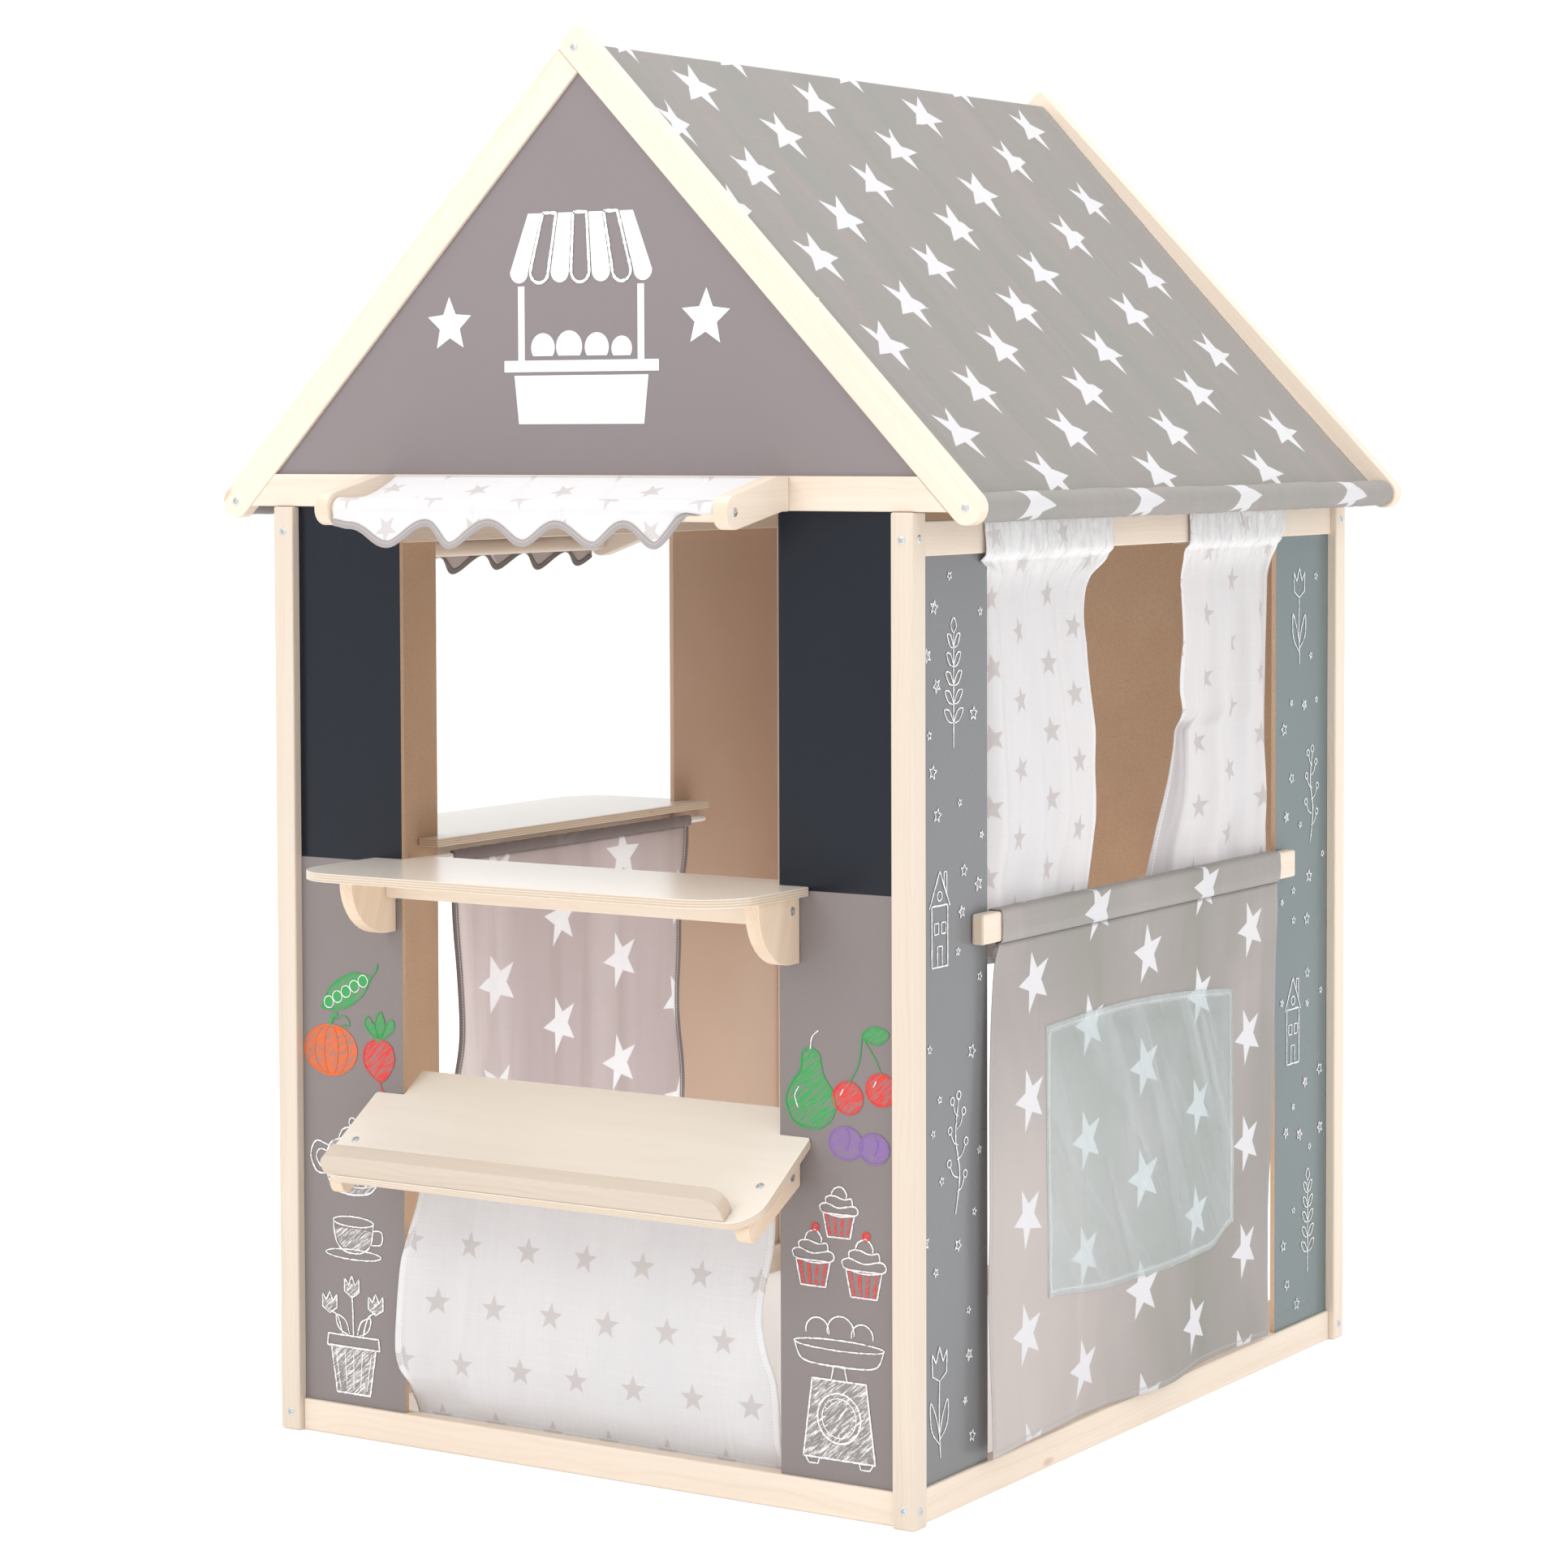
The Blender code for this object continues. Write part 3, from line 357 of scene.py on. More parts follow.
BRACKETS = {"counter_bracket_left": (0, 0.3, 1), "counter_bracket_right": (0, 0.3, 1),
            "side_bracket_front": (0.3, 0, 1), "side_bracket_rear": (0.3, 0, 1),
            "display_batten_left": (0, 0.8, 0.55), "display_batten_right": (0, 0.8, 0.55)}
rs = random.Random(11)
seed = 1
for key, names in WOODS.items():
    for n in names:
        seed += 1
        NODES[n].data.materials.clear()
        # per part the same wood is set lighter or darker: front posts and display lip darker, rafters lighter, as
        # painted shade and painted light
        light_shade_factor = 0.77 if n == "display_lip" else 1.07 if n.startswith("rafter") else 0.88 if n.startswith("post_front") else 1.0
        NODES[n].data.materials.append(wood_material("wood_" + n, GRAIN[key], seed, light_shade_factor * (0.985 + 0.03 * rs.random())))
for n, axis in BRACKETS.items():
    seed += 1
    NODES[n].data.materials.clear()
    NODES[n].data.materials.append(wood_material("wood_" + n, axis, seed, 1.0, (0.60, 0.42, 0.28), (0.80, 0.66, 0.52)))

c33, s33 = math.cos(math.radians(33)), math.sin(math.radians(33))
slope_n = Vector((0, -s33, c33))
shelves = {"counter_shelf": ((0, 0, 1), 0.690, (1, 0, 0)),
           "side_shelf": ((0, 0, 1), 0.686, (0, 1, 0)),
           "display_shelf": (tuple(slope_n), slope_n.dot(W(0, -0.5425, 0.4145)), (1, 0, 0))}
# the counter's ply face is set 12 % paler, a painted reflection of its glancing sheen
for i, (n, (nn, off, al)) in enumerate(shelves.items()):
    NODES[n].data.materials.clear()
    NODES[n].data.materials.append(ply_material("ply_" + n, nn, off, 0.010, 2.0 + i, al, 1.12 if n == "counter_shelf" else 1.0))

BLACK = lin(17, 23, 34)
WARM = lin(131, 123, 122)
BLUEG = lin(117, 118, 120)
REARG = lin(104, 117, 118)
boards = {
    "panel_front_left": (1, -0.5425 + SY, -1, WARM, (0.6855, BLACK, 0.20), 0.30, 0.0),
    "panel_front_right": (1, -0.5425 + SY, -1, WARM, (0.6855, BLACK, 0.20), 0.30, 0.35),
    "gable_board_front": (1, -0.5450 + SY, -1, lin(134, 125, 126), None, 0.34, 0.0),
    "gable_board_rear": (1, 0.5450 + SY, 1, WARM, None, 0.34, 0.0),
    "panel_back": (1, 0.5425 + SY, 1, WARM, None, 0.33, 0.0),
    "panel_door_front": (0, 0.4255 + SX, 1, BLUEG, None, 0.24, 0.35),
    "panel_door_rear": (0, 0.4255 + SX, 1, REARG, None, 0.24, 0.0),
    "panel_side_front": (0, -0.4255 + SX, -1, BLUEG, None, 0.30, 0.0),
    "panel_side_rear": (0, -0.4255 + SX, -1, BLUEG, None, 0.30, 0.45),
}
for n, (axis, at_, sign, paint, split, rough, pink) in boards.items():
    NODES[n].data.materials.clear()
    NODES[n].data.materials.append(board_material("board_" + n, axis, at_, sign, paint, split, rough, pink))

g = Graph("coated_wire")
p = g.obj()
nz = g.noise(p, 240.0, 2.0)
g.done(g.principled(g.mix(g.rng(nz, 0.4, 0.8, 0.0, 0.3), (0.82, 0.82, 0.81), (0.70, 0.70, 0.69)),
                    g.rng(nz, 0.2, 0.8, 0.28, 0.42), g.bump(nz, 0.00008, 0.5)))
WIRE = g.mat
for n in ("front_curtain_rod", "side_curtain_rod"):
    NODES[n].data.materials.clear()
    NODES[n].data.materials.append(WIRE)


# ------------------------------------------------------------------ cloth
def star_mask(g, u, v, u0, pu, v0, pv, radius, ratio=0.40, turn=0.0, jitter=0.0, quad=None, soft=0.0004, grow=0.0):
    """5-point stars on a half-drop lattice: columns pu apart, pv apart within a column"""
    i = g.m('ROUND', g.m('DIVIDE', g.m('SUBTRACT', u, u0), pu))
    par = g.m('FLOORED_MODULO', i, 2.0)
    cx = g.m('MULTIPLY_ADD', i, pu, u0)
    if quad:
        q0, q2, ic = quad
        k = g.m('SUBTRACT', i, ic)
        cx = g.m('ADD', cx, g.m('MULTIPLY_ADD', g.m('MULTIPLY', k, k), q2, q0))
    du = g.m('SUBTRACT', u, cx)
    vv = g.m('SUBTRACT', g.m('DIVIDE', g.m('SUBTRACT', v, v0), pv), g.m('MULTIPLY', par, 0.5))
    j = g.m('ROUND', vv)
    dv = g.m('MULTIPLY', g.m('SUBTRACT', vv, j), pv)
    rnd = g.white(g.comb(i, j, 3.7))
    ang = g.m('ARCTAN2', du, dv)
    ang = g.m('ADD', ang, g.m('MULTIPLY_ADD', g.m('SUBTRACT', rnd, 0.5), jitter, turn))
    r = g.m('SQRT', g.m('ADD', g.m('MULTIPLY', du, du), g.m('MULTIPLY', dv, dv)))
    step = 2 * math.pi / 5
    a = g.m('ABSOLUTE', g.m('SUBTRACT', g.m('FLOORED_MODULO', g.m('ADD', ang, step / 2), step), step / 2))
    px = g.m('MULTIPLY', r, g.m('COSINE', a))
    py = g.m('MULTIPLY', r, g.m('SINE', a))
    ri = radius * ratio
    cc, ss = math.cos(step / 2), math.sin(step / 2)
    ex, ey = ri * ss, radius - ri * cc
    ln = math.hypot(ex, ey)
    d = g.m('ADD', g.m('MULTIPLY', g.m('SUBTRACT', px, radius), ex / ln), g.m('MULTIPLY', py, ey / ln))
    return g.rng(d, soft + grow, -soft + grow)


def cloth_material(name, base, star, stars, translucent=0.35, clear=0.0, weave=1.0, stitch=None, double_dark=0.18,
                   stitch_colour=None, tones=None, shade_z=0.0, painted_light_patch=None, doubled=None, gather=None):
    """woven cloth with printed stars; flat = place in the cloth, hem = (distance from hem edge, run, layers)"""
    g = Graph(name)
    s = g.sep(g.attr("flat"))
    u, v = s[0], s[1]
    h = g.sep(g.attr("hem"))
    warp = g.noise(g.comb(g.m('MULTIPLY', u, 1300), g.m('MULTIPLY', v, 26), 0.3), 1.0, 3.0, 0.6)
    weft = g.noise(g.comb(g.m('MULTIPLY', u, 22), g.m('MULTIPLY', v, 1300), 0.8), 1.0, 3.0, 0.6)
    slub = g.noise(g.comb(g.m('MULTIPLY', u, 9), g.m('MULTIPLY', v, 330), 2.1), 1.0, 2.0, 0.5)
    slub2 = g.noise(g.comb(g.m('MULTIPLY', u, 330), g.m('MULTIPLY', v, 9), 4.1), 1.0, 2.0, 0.5)
    thread = g.m('MULTIPLY', g.m('ADD', warp, weft), 0.5)
    slubs = g.m('MAXIMUM', g.rng(slub, 0.55, 0.85), g.rng(slub2, 0.55, 0.85))
    cloud = g.noise(g.comb(g.m('MULTIPLY', u, 7), g.m('MULTIPLY', v, 7), 1.0), 1.0, 2.0)
    col = g.mix(g.rng(thread, 0.35, 0.65, 0.0, 0.55 * weave), base, [q * 0.86 for q in base])
    col = g.mix(g.m('MULTIPLY', slubs, 0.30 * weave), col, [min(1, q * 1.14) for q in base])
    col = g.mix(g.rng(cloud, 0.35, 0.65, 0.0, 0.35), col, [q * 0.95 for q in base])
    if tones:
        fu, fv, amount, warm_, cool_ = tones
        broad = g.noise(g.comb(g.m('MULTIPLY', u, fu), g.m('MULTIPLY', v, fv), 6.3), 1.0, 3.0, 0.55, 0.5)
        thin = g.noise(g.comb(g.m('MULTIPLY', u, fu * 7), g.m('MULTIPLY', v, fv * 1.6), 9.1), 1.0, 2.0, 0.5)
        col = g.mix(g.rng(broad, 0.50, 0.72, 0.0, amount), col, warm_)
        col = g.mix(g.rng(broad, 0.28, 0.50, amount, 0.0), col, cool_)
        col = g.mix(g.rng(thin, 0.52, 0.72, 0.0, amount * 0.55), col, [q * 0.90 for q in base])
    # painted shade: flat.z darkens the cloth where it lies in shade, such as a fold's back layer or the shaded parts of
    # a curtain
    if shade_z:
        col = g.mix(g.m('MULTIPLY', s[2], shade_z), col, [q * f for q, f in zip(base, (0.62, 0.58, 0.58))])
    # painted light: a soft lighter patch over one corner region of the cloth
    if painted_light_patch:
        u0, u1, v0, v1, lit_tint, amount = painted_light_patch
        col = g.mix(g.m('MULTIPLY', g.m('MULTIPLY', g.rng(u, u0, u1, 0.0, 1.0, True), g.rng(v, v0, v1, 0.0, 1.0, True)), amount), col, lit_tint)
    mask = None
    if stars:
        own = stars.pop("own_u", False)
        mask = star_mask(g, s[2] if own else u, v, **stars)
        scol = g.mix(g.rng(thread, 0.35, 0.65, 0.0, 0.40 * weave), star, [q * 0.90 for q in star])
        col = g.mix(g.m('MULTIPLY', mask, 0.97), col, scol)
    col = g.mix(g.m('MULTIPLY', h[2], double_dark), col, doubled or [q * 0.55 for q in base])
    hgt = g.m('ADD', g.m('MULTIPLY', thread, 0.7), g.m('MULTIPLY', slubs, 0.5))
    if stitch:
        off, pitch = stitch
        line = g.m('MULTIPLY', g.rng(g.m('ABSOLUTE', g.m('SUBTRACT', h[0], off)), 0.0003, 0.0008, 1.0, 0.0),
                   g.m('LESS_THAN', g.m('FRACT', g.m('DIVIDE', h[1], pitch)), 0.72))
        sc = stitch_colour or [min(1, q * 1.25 + 0.03) for q in base]
        ditch = g.rng(g.m('ABSOLUTE', g.m('SUBTRACT', h[0], off)), 0.0004, 0.0022, 1.0, 0.0, True)
        # painted shade along the sunk stitch line
        col = g.mix(g.m('MULTIPLY', ditch, 0.22), col, [q * 0.6 for q in base])
        col = g.mix(g.m('MULTIPLY', line, 0.8), col, sc)
        hgt = g.m('SUBTRACT', hgt, g.m('MULTIPLY', ditch, 1.5))
        hgt = g.m('ADD', hgt, g.m('MULTIPLY', line, 1.2))
    crease = g.noise(g.comb(g.m('MULTIPLY', u, 38), g.m('MULTIPLY', v, 30), 5.0), 1.0, 4.0, 0.62, 0.4)
    n1 = g.bump(crease, 0.0011, 0.55)
    if gather:
        level, fade, height = gather
        pleat = g.noise(g.comb(g.m('MULTIPLY', u, 85), g.m('MULTIPLY', v, 16), 7.7), 1.0, 3.0, 0.6, 1.2)
        near = g.rng(v, level - fade, level, 0.0, 1.0, True)
        # painted light: near the sleeve the cloth is lightened against the shade it gets under the eave
        lift = g.m('MULTIPLY', near, 0.80)
        if mask is not None:
            lift = g.m('MULTIPLY', lift, g.m('MULTIPLY_ADD', mask, -0.55, 1.0))
        col = g.mix(lift, col, [min(0.97, q * 1.14) for q in base])
        # painted shade in the folds of the pleats
        col = g.mix(g.m('MULTIPLY', near, g.rng(pleat, 0.45, 0.28, 0.0, 0.42)), col, [q * f for q, f in zip(base, (0.74, 0.68, 0.67))])
        n1 = g.bump(g.m('MULTIPLY', pleat, near), height, 0.9, n1)
    nrm = g.bump(hgt, 0.00016, 0.7, n1)
    body = g.principled(col, 0.86, nrm, Specular_IOR_Level=0.15, Sheen_Weight=0.12, Sheen_Roughness=0.5)
    tr = g.shader("ShaderNodeBsdfTranslucent", Color=col, Normal=nrm)
    tf = g.m('MULTIPLY_ADD', h[2], -translucent * (0.9 if double_dark > 0.4 else 0.55), translucent)
    if mask is not None:
        tf = g.m('MULTIPLY', tf, g.m('MULTIPLY_ADD', mask, -0.12, 1.0))
    out = g.mixs(tf, body, tr)
    if clear:
        cl = g.shader("ShaderNodeBsdfTransparent", Color=(1.0, 1.0, 1.0))
        cf = g.m('MULTIPLY', g.m('MULTIPLY_ADD', h[2], -0.75, 1.0), g.rng(thread, 0.3, 0.7, clear * 1.25, clear * 0.75))
        if mask is not None:
            cf = g.m('MULTIPLY', cf, g.m('MULTIPLY_ADD', mask, -0.45, 1.0))
        out = g.mixs(cf, out, cl)
    return g.done(out)


def field(x, y, z=0.0, k=1.0):
    return noise.noise(Vector((x * k, y * k, z)))


def make_sheet(name, P, flat, hem, thick, mat, body, smooth=True):
    """a closed thin solid from a grid of points: P (n, m, 3) in house metres"""
    P = np.asarray(P, float) + SHIFT
    n, m = P.shape[:2]
    du = np.gradient(P, axis=0)
    dv = np.gradient(P, axis=1)
    N = np.cross(du, dv)
    N /= np.maximum(np.linalg.norm(N, axis=2, keepdims=True), 1e-12)
    A = (P + N * thick / 2).reshape(-1, 3)
    B = (P - N * thick / 2).reshape(-1, 3)
    verts = np.concatenate([A, B])
    idx = np.arange(n * m).reshape(n, m)
    k = n * m
    q = np.stack([idx[:-1, :-1], idx[1:, :-1], idx[1:, 1:], idx[:-1, 1:]], -1).reshape(-1, 4)
    faces = [tuple(int(v) for v in f) for f in q]
    faces += [tuple(int(v) + k for v in f[::-1]) for f in q]
    for a in range(n - 1):
        faces.append((int(idx[a, 0]), int(idx[a, 0]) + k, int(idx[a + 1, 0]) + k, int(idx[a + 1, 0])))
        faces.append((int(idx[a + 1, -1]), int(idx[a + 1, -1]) + k, int(idx[a, -1]) + k, int(idx[a, -1])))
    for b in range(m - 1):
        faces.append((int(idx[0, b + 1]), int(idx[0, b + 1]) + k, int(idx[0, b]) + k, int(idx[0, b])))
        faces.append((int(idx[-1, b]), int(idx[-1, b]) + k, int(idx[-1, b + 1]) + k, int(idx[-1, b + 1])))
    me = bpy.data.meshes.new(name)
    me.from_pydata([tuple(v) for v in verts], [], faces)
    for key, data in (("flat", flat), ("hem", hem)):
        at = me.attributes.new(key, 'FLOAT_VECTOR', 'POINT')
        d = np.asarray(data, np.float32).reshape(-1, 3)
        at.data.foreach_set("vector", np.concatenate([d, d]).ravel())
    me.validate()
    if smooth:
        me.shade_smooth()
    ob = bpy.data.objects.new(name, me)
    bpy.context.scene.collection.objects.link(ob)
    ob.data.materials.append(mat)
    if body:
        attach(ob, body)
    return ob


def grid(n, m):
    return np.zeros((n, m, 3))


def smooth(t):
    t = min(1.0, max(0.0, t))
    return t * t * (3 - 2 * t)


def curve_at(points, t):
    """monotone-ish cubic through (t, value) pairs"""
    if t <= points[0][0]:
        return points[0][1]
    if t >= points[-1][0]:
        return points[-1][1]
    for k in range(len(points) - 1):
        if points[k][0] <= t <= points[k + 1][0]:
            break
    p0 = points[max(k - 1, 0)]
    p1, p2 = points[k], points[k + 1]
    p3 = points[min(k + 2, len(points) - 1)]
    h = p2[0] - p1[0]
    m1 = (p2[1] - p0[1]) / max(p2[0] - p0[0], 1e-9) * h
    m2 = (p3[1] - p1[1]) / max(p3[0] - p1[0], 1e-9) * h
    s = (t - p1[0]) / h
    return ((2 * s ** 3 - 3 * s ** 2 + 1) * p1[1] + (s ** 3 - 2 * s ** 2 + s) * m1
            + (-2 * s ** 3 + 3 * s ** 2) * p2[1] + (s ** 3 - s ** 2) * m2)


GREY_CLOTH = lin(166, 161, 157)
GREY_STAR = lin(232, 231, 234)
WHITE_CLOTH = (0.86, 0.85, 0.86)
WHITE_STAR = lin(214, 209, 208)

BIG = dict(pu=0.1405, pv=0.1335, radius=0.0375, ratio=0.41)
M_ROOF = cloth_material("cloth_roof", GREY_CLOTH, GREY_STAR,
                        dict(own_u=True, u0=0.0, pu=0.1345, v0=0.1160, pv=0.1370, radius=0.0415, ratio=0.40, turn=-0.384,
                             jitter=0.22),
                        translucent=0.22, stitch=(0.0055, 0.0040), tones=(12.0, 1.5, 0.55, lin(176, 163, 160), lin(155, 158, 150)))
# the flap's cloth is painted lighter towards its lower front end, as painted light
M_FLAP = cloth_material("cloth_flap", lin(176, 170, 166), GREY_STAR, dict(BIG, u0=0.001, v0=0.432, turn=0.314, jitter=0.30),
                        translucent=0.25, stitch=(0.0060, 0.0038), tones=(4.2, 1.5, 0.85, lin(204, 193, 191), lin(158, 157, 149)),
                        painted_light_patch=(0.20, -0.34, 0.60, 0.30, lin(222, 212, 209), 0.62))
# shade_z and the shade function paint shade onto the side curtain
M_SIDE = cloth_material("cloth_side_curtain", lin(240, 232, 231), (0.97, 0.97, 0.98),
                        dict(BIG, u0=0.115, pu=0.1375, v0=0.489, pv=0.138, turn=0.314, jitter=0.7, radius=0.0395),
                        translucent=0.70, clear=0.07, stitch=(0.0085, 0.0038), double_dark=0.93, shade_z=0.58, doubled=lin(120, 108, 106),
                        tones=(16.0, 1.4, 0.45, lin(246, 240, 239), lin(204, 192, 189)))
M_SAWN = cloth_material("cloth_side_awning", lin(206, 196, 194), GREY_STAR, dict(BIG, u0=0.02, v0=0.02),
                        translucent=0.5, clear=0.05, stitch=(0.2, 0.004))
M_AWN = cloth_material("cloth_awning", (0.92, 0.91, 0.92), lin(222, 217, 216),
                       dict(u0=0.0, pu=0.0620, v0=0.034, pv=0.0800, radius=0.0170, ratio=0.42, jitter=0.5),
                       translucent=0.30, stitch=(0.2, 0.004))
M_FCUR = cloth_material("cloth_front_curtain", (0.83, 0.82, 0.83), lin(214, 209, 208),
                        dict(u0=-0.0255, pu=0.0397, v0=0.1035, pv=0.141, radius=0.0170, ratio=0.42, jitter=0.12),
                        translucent=0.36, clear=0.02, stitch=(0.0080, 0.0038), double_dark=0.02,
                        tones=(7.0, 1.6, 0.40, (0.86, 0.84, 0.84), (0.76, 0.76, 0.78)))
# shade_z paints shade on curtain B's turned-back layer; gather paints light near the sleeve and shade in its pleats
M_DCUR = cloth_material("cloth_door_curtain", WHITE_CLOTH, WHITE_STAR,
                        dict(u0=-0.130, pu=0.0800, v0=0.8830, pv=0.0785, radius=0.0170, ratio=0.42, turn=0.1, jitter=0.6),
                        translucent=0.40, clear=0.07, stitch=(0.0060, 0.0038), double_dark=0.02, shade_z=0.45, gather=(1.040, 0.030, 0.0060),
                        tones=(14.0, 1.8, 0.45, (0.88, 0.845, 0.845), (0.81, 0.82, 0.845)))
M_BIND = cloth_material("cloth_binding", lin(178, 171, 170), (1, 1, 1), None, translucent=0.12, weave=1.3,
                        stitch=(0.0030, 0.0034), double_dark=0.0)
M_BIND_D = cloth_material("cloth_binding_dark", lin(150, 142, 142), (1, 1, 1), None, translucent=0.20, weave=1.3,
                          stitch=(0.0030, 0.0034), double_dark=0.0)

# ------------------------------------------------------------------ roof cloth
EAVE_X, EAVE_Z, APEX_Z, RIDGE_Z = 0.4995, 1.1055, 1.6175, 1.6120
UP2 = Vector((-EAVE_X, APEX_Z - EAVE_Z)).normalized()
OUT2 = Vector((UP2.y, -UP2.x))
RUN = math.hypot(EAVE_X, APEX_Z - EAVE_Z)
ROLL, CREST = 0.0158, 0.0104
meet = Vector((EAVE_X, EAVE_Z)) + UP2 * math.sqrt(ROLL ** 2 - 0.0035 ** 2) - OUT2 * 0.0035
up_ang = math.atan2(meet.y - EAVE_Z, meet.x - EAVE_X)
crest_ang = math.atan2(OUT2.y, OUT2.x)
half = []                                     # (x, z, s, kind) from the ridge down
for k in range(7):
    a = math.pi / 2 + (crest_ang - math.pi / 2) * k / 6
    half.append((CREST * math.cos(a), RIDGE_Z + CREST * math.sin(a), RUN + CREST * (a - crest_ang) * 0.9, 0))
p0 = Vector(half[-1][:2])
NS = 84
for k in range(1, NS):
    q = p0 + (meet - p0) * k / NS
    half.append((q.x, q.y, (q - Vector((EAVE_X, EAVE_Z))).dot(UP2), 1))
s_meet = ROLL
for k in range(0, 43):
    a = up_ang - math.radians(334) * k / 42
    half.append((EAVE_X + ROLL * math.cos(a), EAVE_Z + ROLL * math.sin(a), s_meet - ROLL * math.radians(334) * k / 42, 2))
sec = [(-x, z, 2 * RUN - s, kind, -1) for x, z, s, kind in half[::-1]] + [(x, z, s, kind, 1) for x, z, s, kind in half[1:]]
YS = np.linspace(-0.529, 0.529, 171)
roof = grid(len(YS), len(sec))
rflat, rhem = grid(len(YS), len(sec)), grid(len(YS), len(sec))
sx = np.array([[c[0], c[1]] for c in sec])
tan = np.gradient(sx, axis=0)
tan /= np.linalg.norm(tan, axis=1, keepdims=True)
nor = np.stack([-tan[:, 1], tan[:, 0]], 1)          # outward for a section that runs left to right
crease_at = [(-0.475, 1.5), (-0.40, -1.3), (-0.365, 1.2), (-0.235, -1.6), (-0.215, 1.5), (-0.11, -1.2), (-0.02, 1.7), (0.0, -1.2),
             (0.125, -1.4), (0.145, 1.2), (0.315, 1.7), (0.335, -1.4), (0.455, -1.4)]
COLUMNS = [-0.417, -0.293, -0.156, -0.030, 0.102, 0.262, 0.408]
knots = [(-0.700, -0.41)]
for q, cy in enumerate(COLUMNS):
    knots += [(cy - 0.043, q * 0.1345 - 0.043), (cy + 0.043, q * 0.1345 + 0.043)]
knots.append((0.700, 6 * 0.1345 + 0.060))
KX, KY = [q[0] for q in knots], [q[1] for q in knots]
for i, y in enumerate(YS):
    edge = 0.529 - abs(y)
    for j, (x, z, s, kind, side) in enumerate(sec):
        se = s if side > 0 else 2 * RUN - s          # distance up from the eave on its own side
        t = min(1.0, max(0.0, (se - ROLL) / (RUN - ROLL)))
        d = 0.0
        if kind == 1:
            sag = math.sin(math.pi * t) ** 0.8 if 0 < t < 1 else 0.0
            d -= 0.0055 * sag * (0.75 + 0.25 * math.cos(y * 5.0))
            env = min(1.0, 6 * t) * min(1.0, 6 * (1 - t))
            d += 0.0022 * env * field(y * 6.0, se * 1.6, 3.0 * side)
            d += 0.0011 * env * field(y * 17.0, se * 3.0, 8.0 * side)
            for cy, amp in crease_at:
                w = abs(y - cy - 0.022 * math.sin(se * 4.5 + cy * 9) - 0.03 * (se / 0.7) ** 2) / 0.011
                if w < 1:
                    d += 0.0017 * amp * env * (1 - w) ** 1.6
            # puckers above the stitched tube
            d += 0.0010 * math.exp(-(se - ROLL) / 0.02) * field(y * 55.0, 1.5, side)
            # the hem lies double
            if edge < 0.018:
                d += 0.0006 + 0.0005 * field(y * 4, se * 45, 2.0)
        elif kind == 2:
            ang = (s_meet - se) / ROLL
            d += 0.0011 * field(y * 9.0, ang * 0.7, 5.0 + side) + 0.0010 * field(y * 46.0, ang * 0.5, 6.0 + side)
            if ang < 0.5:
                d -= 0.0012 * (1 - ang / 0.5)
        px, pz = x + nor[j, 0] * d, z + nor[j, 1] * d
        roof[i, j] = (px, y + 0.0005 * field(se * 3, 0.0, 4.4) * (1 if y > 0 else -1) * (1.0 if edge < 0.03 else 0.0), pz)
        rflat[i, j] = (y, s, float(np.interp(y - float(np.interp(y, (0.27, 0.43), (0.05, 0.020))) * (min(se, 0.715) / 0.65) ** 2 * (se > 0), KX, KY)))
        dist_end = edge
        dist_st = abs(se - (ROLL + 0.0035)) + 0.0055
        rhem[i, j] = (min(dist_end, dist_st), s if dist_end < dist_st else y, 1.0 if (edge < 0.0175 or se < ROLL + 0.003) else 0.0)
ob = make_sheet("roof_sheet", roof, rflat, rhem, 0.0009, M_ROOF, "stall")
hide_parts("roof_cloth")


# ------------------------------------------------------------------ binding along a scalloped edge
def binding(name, edge_pts, inward, outn, mat, body, width=0.0080, thick=0.0016):
    """a folded strip over the edge of a cloth: edge_pts along the edge, inward into the cloth, outn its face normal"""
    n = len(edge_pts)
    loop = [(0.94, 1), (0.5, 1), (0.12, 1), (-0.06, 0.55), (-0.08, 0.0), (-0.06, -0.55), (0.12, -1), (0.5, -1), (0.94, -1)]
    P = grid(n, len(loop))
    fl, hm = grid(n, len(loop)), grid(n, len(loop))
    run = 0.0
    for i in range(n):
        if i:
            run += (Vector(edge_pts[i]) - Vector(edge_pts[i - 1])).length
        for j, (a, b) in enumerate(loop):
            q = Vector(edge_pts[i]) + Vector(inward[i]) * (a * width) + Vector(outn[i]) * (b * thick / 2)
            P[i, j] = q
            fl[i, j] = (run, a * width + b * 0.004, 0)
            hm[i, j] = (abs(a) * width * 0.65, run, 0)
    ob = make_sheet(name, P, fl, hm, 0.0004, mat, body)
    return ob


# ------------------------------------------------------------------ front awning
AY, AZ = -0.657, 1.101
HEM = [(-0.2610, 1.0824), (-0.2350, 1.0790), (-0.1745, 1.0585), (-0.1274, 1.0828), (-0.0881, 1.0580), (-0.0409, 1.0837),
       (0.0120, 1.0615), (0.0505, 1.0828), (0.1065, 1.0603), (0.1409, 1.0837), (0.1863, 1.0613), (0.2263, 1.0960), (0.2620, 1.1020)]


def hem_at(u):
    u = max(HEM[0][0], min(HEM[-1][0], u))
    for a, b in zip(HEM, HEM[1:]):
        if a[0] <= u <= b[0]:
            k = (u - a[0]) / (b[0] - a[0])
            return a[1] + (b[1] - a[1]) * (0.5 - 0.5 * math.cos(math.pi * k))


NU, NT = 181, 52
RD = 0.0118


